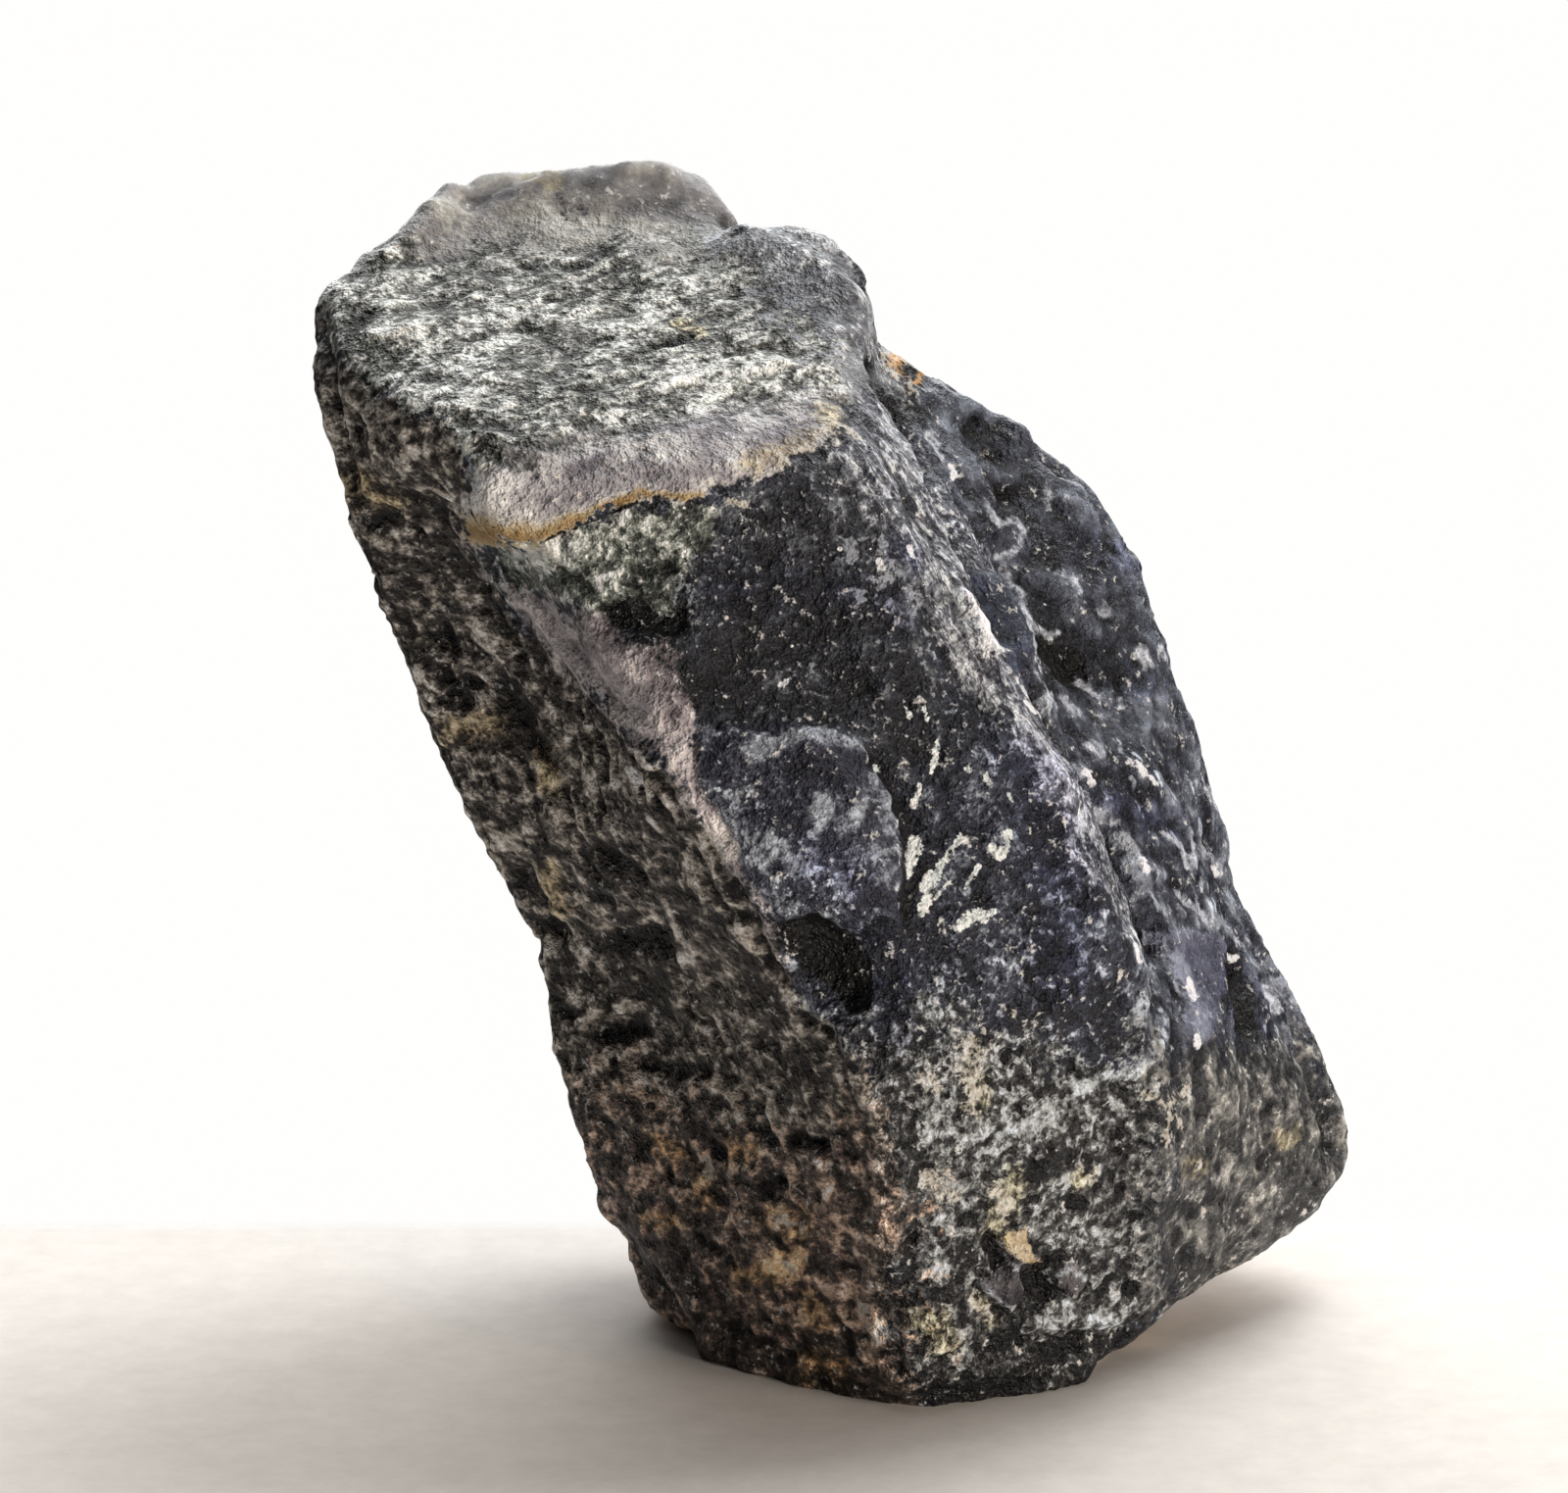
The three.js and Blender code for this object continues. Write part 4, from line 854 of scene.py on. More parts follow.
# Small crisp marks: half width in photo pixels, and the photo pixels along which each lies.
MARKS = {
    "amber": [
        (15, (486, 541), (505, 545)), (12, (505, 545), (540, 548)), (8, (540, 548), (562, 541), (590, 530)),
        (5, (590, 530), (622, 517), (640, 510), (655, 503)), (3, (655, 504), (690, 507), (715, 506)),
    ],
    "orange": [(7, (914, 366), (934, 387))],
    "cream": [
        (3, (1030, 846), (1032, 852)), (6, (1024, 854), (1028, 864)), (7, (1014, 869), (1026, 866)),
        (3, (980, 855), (970, 868)), (4, (970, 868), (960, 882)), (5, (960, 882), (952, 896)),
        (6, (952, 896), (946, 910)), (5, (946, 910), (943, 921)), (3, (943, 921), (942, 932)),
        (3, (966, 900), (955, 917)), (3, (998, 884), (990, 898)), (2, (990, 898), (984, 908)),
        (3, (938, 852), (937, 860)), (5, (937, 862), (935, 880)), (3, (935, 880), (934, 894)),
        (6, (976, 945), (988, 939)), (7, (988, 938), (1000, 934)), (4, (1000, 934), (1013, 930)),
        (3, (957, 757), (955, 770)), (2.5, (955, 770), (951, 788)), (2, (938, 801), (934, 822)),
        (4, (897, 779), (901, 782)), (3, (986, 784), (988, 787)), (3, (1005, 790), (1010, 800)),
        (2.5, (1028, 808), (1032, 816)), (2, (724, 884), (730, 893)), (2.5, (925, 722), (928, 732)),
        (2.5, (942, 722), (946, 735)),
    ],
    "straw": [
        (12, (995, 1066), (986, 1085)), (9, (986, 1085), (990, 1108)), (9, (1000, 1108), (990, 1128)),
        (7, (943, 1100), (958, 1112)), (4, (1028, 1032), (1033, 1034)),
        (4, (1165, 1115), (1190, 1128), (1216, 1108)), (3, (1190, 1128), (1184, 1165)),
        (3, (1190, 1128), (1204, 1150)), (9, (950, 1200), (975, 1218)), (6, (996, 1325), (1006, 1342)),
        (7, (1024, 1218), (1022, 1240)), (4, (1110, 1200), (1118, 1206)), (8, (402, 342), (412, 338)),
        (9, (908, 360), (916, 376)), (6, (925, 392), (930, 402)), (5, (560, 562), (566, 575)),
        (6, (540, 558), (552, 565)), (3, (721, 494), (736, 503)), (3, (757, 482), (790, 468), (850, 449)),
        (4, (862, 446), (880, 452)), (3, (742, 512), (760, 516)), (5, (718, 1184), (724, 1200)),
        (5, (795, 1240), (815, 1252)), (5, (802, 1288), (806, 1296)), (4, (882, 1330), (888, 1352)),
    ],
    "ochre": [
        (13, (955, 1345), (958, 1368)), (7, (690, 328), (715, 338)), (10, (540, 180), (565, 185)),
        (12, (1000, 1105), (1000, 1125)), (12, (715, 1190), (722, 1228)), (10, (665, 1245), (685, 1245)),
        (12, (665, 1165), (692, 1180)), (12, (555, 770), (560, 800)), (12, (560, 890), (572, 925)),
        (16, (790, 1245), (812, 1250)), (16, (798, 1292), (806, 1285)), (14, (755, 1300), (790, 1298)),
        (12, (825, 1325), (838, 1345)), (14, (825, 1385), (858, 1402)), (16, (360, 495), (400, 515)),
        (16, (465, 745), (510, 740)), (14, (1036, 1205), (1015, 1250)), (10, (1100, 1205), (1106, 1200)),
        (12, (1308, 1165), (1320, 1160)), (10, (1215, 1190), (1222, 1185)), (12, (845, 425), (850, 440)),
        (12, (745, 1170), (760, 1172)), (11, (768, 472), (822, 450)), (14, (940, 1345), (962, 1368)),
        (9, (1003, 1330), (1012, 1345)),
    ],
    # White marks: pale flakes, and painted highlights such as the ridge's crest streak and small glints.
    "white": [
        (4, (978, 604), (985, 622)), (5, (985, 622), (993, 642)), (7, (994, 642), (1003, 664)),
        (4, (1105, 789), (1114, 801)), (2, (1043, 718), (1060, 742), (1080, 770)),
        (2, (1092, 806), (1110, 838), (1122, 858)), (4, (1150, 777), (1163, 788), (1178, 800)),
        (3, (1155, 955), (1166, 980)), (4, (1165, 878), (1167, 890)), (3, (1255, 973), (1262, 976)),
        (3, (1210, 1000), (1216, 1020)), (3, (972, 474), (977, 484)), (3, (642, 788), (650, 799)),
        (3, (1218, 1058), (1221, 1068)), (4, (1237, 885), (1243, 891)), (3, (896, 572), (900, 580)),
        (3, (922, 560), (926, 570)), (3, (806, 690), (796, 700)), (3, (612, 590), (622, 585)),
    ],
    "grey": [
        (3, (1022, 580), (1040, 607), (1053, 640), (1058, 672)), (4, (951, 442), (964, 472)),
        (2.5, (1062, 643), (1082, 646)),
        (3, (1006, 508), (1010, 520), (1022, 534), (1038, 528), (1046, 540), (1042, 556), (1030, 564),
         (1018, 568)),
        (3, (1067, 500), (1071, 516)), (4, (1125, 621), (1130, 627)),
        (3, (1078, 585), (1094, 590), (1100, 602)), (3.5, (1163, 662), (1171, 680)),
        (3, (1183, 662), (1187, 672)), (3, (1105, 692), (1117, 711)), (3, (1070, 710), (1077, 724)),
        (3.5, (1084, 710), (1097, 728)), (3, (1141, 715), (1146, 723)), (3.5, (1111, 760), (1122, 772)),
        (3, (1110, 818), (1130, 826), (1145, 838)), (3, (1147, 850), (1160, 868), (1170, 890)),
        (3, (1218, 861), (1232, 872)), (3.5, (1234, 874), (1248, 889)), (3, (1221, 798), (1235, 808)),
        (3, (1204, 912), (1222, 930)), (3.5, (1227, 932), (1238, 944)),
        (3, (1190, 850), (1204, 866), (1214, 884)), (3, (1255, 950), (1262, 964)),
        (3, (1290, 1010), (1302, 1032)), (2, (1002, 1309), (1010, 1321), (1022, 1329)),
        (2, (1031, 1288), (1040, 1301), (1044, 1313)), (2, (1078, 1298), (1090, 1292), (1104, 1303)),
    ],
    # Black marks: holes, cracks and gaps by the plate, partly dark mineral and partly painted shade.
    "black": [
        (6, (921, 374), (931, 386)), (9, (988, 438), (1004, 444)),
        (4, (900, 786), (908, 802), (918, 815), (921, 834), (925, 850)), (6, (924, 845), (923, 885)),
        (5, (923, 885), (930, 910), (924, 938)), (3, (934, 925), (938, 900), (948, 880)),
        (9, (634, 966), (650, 958), (668, 966)), (6, (616, 1058), (648, 1051)),
        (2, (662, 1091), (690, 1086), (715, 1091)), (2, (556, 551), (590, 537), (622, 523), (650, 513)),
        (8, (812, 950), (828, 972)), (9, (835, 950), (850, 985)), (7, (924, 852), (926, 872)),
        (6, (893, 390), (912, 410), (930, 424)), (6, (1060, 732), (1076, 764), (1096, 800)),
        (5, (1076, 668), (1100, 690)), (11, (1052, 1302), (1062, 1318)), (7, (1264, 1000), (1270, 1036)),
        (5, (1065, 1284), (1078, 1285)), (6, (1012, 1270), (1018, 1282)), (5, (667, 816), (678, 832)),
        (5, (520, 715), (540, 750)), (5, (773, 1212), (788, 1207)), (4, (670, 354), (696, 343)),
        (4, (815, 1161), (835, 1167)), (5, (1022, 500), (1028, 512)), (4, (505, 625), (525, 660)),
        (4, (453, 645), (460, 660)),
    ],
    "indigo": [
        (26, (1060, 830), (1080, 900), (1085, 990)), (14, (915, 640), (910, 615)),
        (20, (890, 960), (920, 1050)), (14, (1130, 810), (1190, 840)), (16, (1262, 1000), (1275, 1050)),
        (10, (912, 560), (930, 575)), (20, (1030, 770), (1060, 795)), (20, (740, 600), (860, 600)),
        (16, (1100, 560), (1150, 570)), (16, (1150, 690), (1160, 695)), (24, (840, 880), (860, 890)),
    ],
}
MARK_BENDS = ((1.8, 16), (1.1, 6))

# The kinds of mark with a crisp border; the others only tint what they lie on.
CRISP_MARKS = ("orange", "cream", "straw", "white", "grey", "black")

# Single points of light, painted white as highlights: half width and place, in photo pixels.
GLINTS = [
    (2.5, (808, 810)), (2.5, (820, 808)), (2.5, (813, 816)), (2, (818, 803)), (2.5, (800, 829)),
    (1.5, (797, 834)), (4, (663, 495)), (2.5, (1067, 616)), (1.5, (1088, 657)), (1.5, (1078, 648)),
    (2, (698, 518)), (2, (722, 637)), (2, (808, 659)), (2.5, (636, 534)), (2.5, (628, 541)),
    (1.5, (790, 600)), (1.5, (888, 560)), (1.5, (905, 585)), (2, (748, 1141)), (2, (757, 1139)),
    (3, (857, 560)), (2, (1150, 818)), (2, (1167, 817)), (3, (1036, 502)), (2, (703, 1143)),
]


def patch_steps(skin, seen):
    """How many steps up or down its palette each point lies."""
    sight = Sight(skin, seen).bend(PATCH_BENDS, 601)
    lighter = np.zeros(len(sight.across))
    darker = np.zeros(len(sight.across))
    for steps, *stroke in PATCHES:
        amount = PATCH_SHARE * steps * soft_step(0.1, 0.8, sight.stroke(*stroke))
        lighter = np.maximum(lighter, amount)
        darker = np.minimum(darker, amount)
    elsewhere = 0.9 * fractal(skin.points, 7, 651, octaves=4, roughness=0.6)
    return sight.everywhere(np.clip(lighter + darker, -MOST_STEPS, MOST_STEPS), elsewhere, rounds=6)


def mark_fields(skin, seen):
    """For each kind of mark, a value at each point: 1 in its middle, half at its half width."""
    sight = Sight(skin, seen).bend(MARK_BENDS, 701)
    return {name: sight.closeness(strokes) for name, strokes in MARKS.items()}


class Caster:
    """Finds the place on the stone that a pixel of the photograph shows, or the nearest one to it."""

    def __init__(self, tree):
        self.tree = tree

    def place(self, pixel):
        line = sight_line(pixel)
        hit = self.tree.ray_cast(Vector(EYE), Vector(line))
        if hit[0] is None:
            beside = EYE + line * ((AIM - EYE) @ line)
            for _ in range(NEAREST_ROUNDS):
                hit = self.tree.find_nearest(Vector(beside))
                beside = EYE + line * ((np.array(hit[0]) - EYE) @ line)
        return np.array(hit[0]), np.array(hit[1])

    def way(self, pixel, other):
        return unit(self.place(other)[0] - self.place(pixel)[0])


def stroke_field(points, places, half_width):
    """1 on the line through the places, 0.5 at its half width from it and 0 at twice that."""
    nearest = np.full(len(points), np.inf)
    if len(places) == 1:
        nearest = np.linalg.norm(points - places[0], axis=1)
    for a, b in zip(places, places[1:]):
        along = b - a
        share = np.clip((points - a) @ along / (along @ along), 0, 1)
        nearest = np.minimum(nearest, np.linalg.norm(points - a - np.outer(share, along), axis=1))
    return np.clip(1 - nearest / (2 * half_width), 0, 1)


# Grooves and swellings too fine for the solid: how far out in mm, half width in pixels, and the photo pixels
# along which each lies.
FORMS = [
    # Groove between the ridge and the wing, and the ridge beside it
    (-1.2, 17, (896, 385), (930, 445), (958, 500), (990, 565), (1026, 640)),
    (-1.1, 14, (1048, 680), (1066, 722), (1096, 790), (1136, 852), (1168, 930), (1182, 962)),
    (0.5, 22, (860, 450), (925, 560), (972, 600), (1042, 742), (1093, 816), (1140, 915)),
    # Front face
    (-0.35, 20, (935, 520), (960, 640), (1000, 720)), (0.35, 20, (1075, 800), (1110, 880), (1135, 960)),
    (-0.5, 11, (895, 778), (920, 810), (931, 850), (930, 930)),
    (0.4, 14, (520, 600), (600, 690), (700, 790), (770, 905)),
    (-0.5, 14, (620, 628), (655, 628), (690, 630)), (-0.4, 12, (575, 590), (598, 598)),
    (-0.35, 12, (650, 590), (680, 575)), (-0.6, 20, (828, 962), (862, 1006)),
    (-0.3, 9, (800, 948), (840, 948), (876, 960)),
    (0.45, 14, (870, 1050), (905, 1140), (915, 1200), (905, 1290), (895, 1350)),
    (-0.3, 6, (992, 600), (1008, 640), (1022, 676)), (0.4, 7, (980, 610), (1004, 668)),
    (0.2, 8, (1020, 850), (1022, 868)), (0.15, 7, (975, 862), (955, 905)),
    (0.2, 8, (978, 944), (1012, 932)), (-0.2, 12, (985, 905), (1000, 915)),
    # Wing
    (-0.5, 18, (990, 440), (1015, 462)), (-0.6, 16, (1030, 500)), (0.4, 20, (1078, 490), (1105, 530)),
    (-0.6, 16, (1074, 664), (1096, 684)), (0.4, 10, (1050, 590), (1085, 602), (1115, 645)),
    (0.25, 24, (1150, 600), (1185, 680), (1205, 740)), (-0.35, 14, (950, 445), (985, 500)),
    (0.3, 12, (955, 410), (1000, 400), (1040, 440)),
    # Folds
    (0.1, 6, (1100, 782), (1114, 802)), (0.15, 6, (1148, 775), (1178, 802)),
    (-0.35, 12, (1140, 795), (1165, 810)), (-0.35, 14, (1150, 832), (1196, 840)),
    (0.1, 7, (1105, 828), (1150, 852), (1166, 890)), (-0.5, 9, (1150, 915), (1170, 950)),
    (0.15, 8, (1180, 795), (1205, 830), (1215, 860)), (0.12, 7, (1222, 868), (1248, 892)),
    (0.12, 8, (1232, 925), (1248, 948)), (-0.25, 9, (1175, 870), (1200, 900)),
    (-0.7, 14, (1262, 990), (1274, 1045)), (0.2, 7, (1255, 950), (1262, 975)),
    (0.25, 10, (1285, 990), (1320, 1060)),
    # Outline
    (1.0, 18, (722, 1384), (760, 1396), (820, 1414), (880, 1430), (935, 1438)),
    (1.0, 18, (950, 1436), (1040, 1416), (1095, 1394)),
    (-1.1, 20, (1296, 985), (1330, 1060), (1352, 1120), (1364, 1165)),
    (-0.8, 24, (640, 1280), (668, 1320), (692, 1356)), (-0.4, 14, (530, 885), (548, 925), (562, 955)),
    (-0.95, 20, (320, 325), (326, 370), (338, 420), (350, 475)),
    (0.75, 14, (390, 240), (418, 218), (460, 206)),
    (-0.65, 16, (750, 232), (790, 228), (835, 240), (880, 284)), (-0.45, 12, (475, 190), (535, 178)),
    (0.35, 10, (640, 168), (680, 166)),
    (0.35, 30, (440, 205), (500, 187), (560, 177), (650, 168), (720, 167), (765, 180)),
    (0.3, 20, (412, 216), (440, 202)), (-1.1, 14, (1064, 460), (1084, 476)),
    (0.5, 10, (1044, 438), (1055, 448)),
    # Lower front and foot
    (0.35, 9, (1186, 1040), (1180, 1070), (1130, 1100)), (-0.3, 8, (1095, 1090), (1150, 1115)),
    (0.3, 16, (1185, 1110), (1180, 1200), (1170, 1320)),
    (0.3, 12, (1046, 1350), (1110, 1348), (1170, 1330)),
    (-0.25, 9, (1000, 1372), (1080, 1368), (1150, 1356)), (-0.7, 12, (1052, 1302), (1062, 1320)),
    (-0.5, 8, (1012, 1268), (1018, 1284)), (0.3, 5, (1031, 1288), (1026, 1325)),
    (0.25, 5, (1090, 1294), (1092, 1318)), (0.3, 12, (955, 1345), (960, 1368)),
    (0.25, 12, (992, 1075), (992, 1110)),
    # Left face
    (-0.7, 13, (630, 962), (672, 960)), (-0.6, 11, (612, 1057), (652, 1051)),
    (-0.35, 8, (655, 1088), (722, 1092)), (-0.4, 8, (806, 1160), (838, 1168)),
    (-0.4, 10, (545, 948), (572, 952)), (-0.5, 15, (517, 702), (544, 756)),
    (-0.45, 9, (500, 620), (530, 670)), (-0.4, 8, (452, 640), (462, 665)),
    (-0.4, 11, (455, 695), (475, 715)), (-0.4, 13, (610, 870), (650, 890)),
    (-0.4, 9, (752, 905), (780, 980)), (-0.35, 8, (768, 1215), (792, 1205)),
    (-0.35, 7, (667, 815), (680, 835)), (-0.35, 9, (450, 550), (488, 600)),
    (0.3, 9, (700, 800), (720, 860), (735, 900)), (-0.35, 10, (385, 535), (400, 525)),
    (-0.3, 9, (716, 1152), (735, 1175)),
    # Top face
    (-0.3, 6, (655, 360), (700, 342)), (-0.25, 8, (540, 335), (585, 360)),
    (-0.3, 12, (350, 345), (372, 318)), (-0.25, 12, (415, 325), (450, 305)),
    (-0.2, 6, (520, 272), (600, 268)), (-0.25, 7, (745, 357), (800, 350)), (0.2, 9, (690, 385), (798, 370)),
    (-0.25, 9, (470, 428), (520, 440)), (-0.2, 7, (595, 400), (650, 385)),
    (0.2, 10, (398, 342), (425, 335)),
]

# How far noise bends the grooves and swellings, in mm.
FORM_WARP = 0.22

# The lowest part of the stone, in mm, where the relief fades out, so that the foot stays flat.
FOOT_CALM = 0.8


def bent_by(points, reach, size, seed, octaves):
    """The points, each moved by noise, as far as the reach."""
    moves = [fractal(points, size, seed + 7 * k, octaves=octaves) for k in range(3)]
    return points + reach * np.stack(moves, axis=1)


def forms_relief(points, caster):
    """How far the grooves and swellings move each point out."""
    bent = bent_by(points, FORM_WARP, 1.4, 401, 3)
    total = np.zeros(len(points))
    for height, half_width, *pixels in FORMS:
        places = [caster.place(pixel)[0] for pixel in pixels]
        field = stroke_field(bent, places, half_width / PIXELS_PER_MM)
        total += height * soft_step(0, 1, field)
    return total


def stepped(value, steps, sharpness=0.25):
    """Turns a smooth slope into ledges."""
    scaled = value * steps
    low = np.floor(scaled)
    return (low + soft_step(0.5 - sharpness, 0.5 + sharpness, scaled - low)) / steps


# Fine relief of this many mm counts as full.
FINE_REACH = 0.2


def relief_of(p, share, ways):
    """How far each point moves out, in mm, the finer part of that, and a tone for its flake, -1 to 1."""
    bent = bent_by(p, 0.5, 3, 200, 2)
    lumps = fractal(p, 3.4, 1, octaves=3)
    grain = fractal(p, 0.9, 11, octaves=2, roughness=0.7)
    strands = ridged(along_grain(bent, ways["left"], 2.4), 1.2, 21, octaves=2) - 0.45
    dashes = fractal(along_grain(p, ways["top"], 3.0), 0.8, 31, octaves=2, roughness=0.65)
    fibres = ridged(along_grain(bent, ways["ridge"], 4.5), 0.95, 41, octaves=2) - 0.45
    ledges = stepped(fractal(bent, 4.2, 91, octaves=3, roughness=0.5), 5) / 0.3
    pitted = fractal(along_grain(bent, ways["left"], 1.5), 2.0, 51, octaves=3, roughness=0.6)
    holes = -soft_step(0.2, 0.75, pitted)
    near, which = cells(bent, 1.5, 151)
    chips = soft_step(0.5, 0.2, near) * (which < 0.3)
    warped = bent_by(p, 0.35, 1.5, 230, 3)
    slabs, slab_tone = flakes(warped, 2.6, 161, 1.3)
    splinters, splinter_tone = flakes(along_grain(warped, ways["ridge"], 1.8), 1.1, 171, 1.3)
    facets = 0.75 * slabs + 0.45 * splinters

    # The broad and the fine relief of the surface that lies under all regions, then of each region, in mm.
    broad = 0.10 * facets + 0.14 * lumps
    fine = 0.12 * grain + 0.05 * strands
    layers = {
        "left": (0.14 * lumps + 0.08 * facets + 0.38 * holes, 0.08 * strands + 0.14 * grain),
        "rust": (0.16 * lumps + 0.08 * facets + 0.2 * holes - 0.2 * chips, 0.05 * strands + 0.17 * grain),
        "top": (0.10 * lumps + 0.08 * ledges, 0.14 * dashes + 0.04 * grain),
        "block": (0.12 * lumps + 0.06 * ledges, 0.04 * grain),
        "hump": (0.12 * lumps + 0.06 * ledges, 0.06 * grain),
        "grains": (0.15 * lumps - 0.2 * chips, 0.24 * grain),
        "upper": (0.12 * lumps + 0.08 * facets, 0.07 * grain),
        "strip": (0.12 * lumps + 0.08 * ledges, 0.07 * grain),
        "lower": (0.14 * lumps + 0.08 * ledges - 0.2 * chips, 0.22 * grain),
        "ridge": (0.10 * lumps, 0.26 * fibres + 0.06 * grain),
        "wing": (0.10 * lumps + 0.16 * facets, 0.05 * grain),
        "folds": (0.12 * lumps + 0.12 * facets, 0.08 * fibres + 0.09 * grain),
        "corner": (0.16 * lumps + 0.08 * ledges - 0.2 * chips, 0.14 * grain),
        "facet": (0.25 + 0.03 * lumps, 0.01 * grain),
        "plate": (0.30 + 0.06 * lumps + 0.07 * facets, 0.05 * grain),
        "pit": (0.15 * lumps - 0.15, 0.05 * grain),
        "band": (0.10 + 0.05 * lumps, 0.02 * grain),
        "violet": (0.15 + 0.05 * lumps, 0.02 * grain),
        "nodules": (0.30 + 0.03 * lumps, 0.01 * grain),
        "chip": (0.25 + 0.03 * lumps, 0.03 * grain),
    }
    for name, (wide, close) in layers.items():
        broad = broad + share[name] * (wide - broad)
        fine = fine + share[name] * (close - fine)
    return broad + fine, np.clip(fine / FINE_REACH, -1, 1), 0.7 * slab_tone + 0.7 * splinter_tone


# After so many rounds of evening, the surface is compared with what it was.
HOLLOW_ROUNDS = (2, 12)


def hollowness(skin):
    """How far each point lies below what is round it, from -1 on a crest to 1 in a pit."""
    edges = skin.edges()
    normals = skin.normals()
    total = np.zeros(len(skin.points))
    around = skin.points
    for step in range(1, max(HOLLOW_ROUNDS) + 1):
        around = neighbours_mean(around, edges)
        if step in HOLLOW_ROUNDS:
            gap = np.einsum("ij,ij->i", around - skin.points, normals)
            total += gap / (3 * np.std(gap))
    return np.clip(total, -1, 1)


# A region's soft border goes from the value below which nothing of it shows to the one where all of it does.
BORDER = (0.42, 0.58)


def stone_mesh():
    """The stone, with its values at each point, the ways that its textures run, and the caster of pixels."""
    skin = fine_skin()
    tree = tree_of(skin)
    seen = seen_from_camera(skin, tree)
    caster = Caster(tree)
    ways = {
        "left": caster.way((440, 560), (680, 850)),
        "across": caster.way((470, 640), (560, 640)),
        "top": caster.way((470, 410), (720, 320)),
        "ridge": caster.way((900, 470), (1060, 740)),
        "flakes": caster.way((935, 900), (985, 800)),
    }
    fields = region_fields(skin, seen)
    share = {name: soft_step(*BORDER, value) for name, value in fields.items()}
    marks = mark_fields(skin, seen)
    away = away_field(skin, seen)
    steps = patch_steps(skin, seen)
    worked, fine, flake_tone = relief_of(skin.points, share, ways)
    calm = soft_step(0, FOOT_CALM, skin.points[:, 2])
    moved = worked * calm + forms_relief(skin.points, caster)
    skin.points = skin.points + moved[:, None] * skin.normals()
    skin.evened(1)
    skin.points[:, 2] = np.maximum(skin.points[:, 2], 0)
    values = {"relief": 0.5 + 0.5 * fine, "hollow": 0.5 + 0.5 * hollowness(skin), "patch": steps,
              "flake": flake_tone, "away": away}
    values.update({"in_" + name: value for name, value in fields.items()})
    values.update({"mark_" + name: value for name, value in marks.items()})
    print(f"stone: {len(skin.points)} points, {len(skin.faces)} triangles")
    return mesh_object("stone", skin, values), ways, caster


def mesh_object(name, skin, values):
    mesh = bpy.data.meshes.new(name)
    mesh.from_pydata((skin.points * MM).tolist(), [], skin.faces.tolist())
    for key, value in values.items():
        layer = mesh.attributes.new(key, "FLOAT", "POINT")
        layer.data.foreach_set("value", value.astype(np.float32))
    mesh.shade_smooth()
    thing = bpy.data.objects.new(name, mesh)
    bpy.context.scene.collection.objects.link(thing)
    return thing


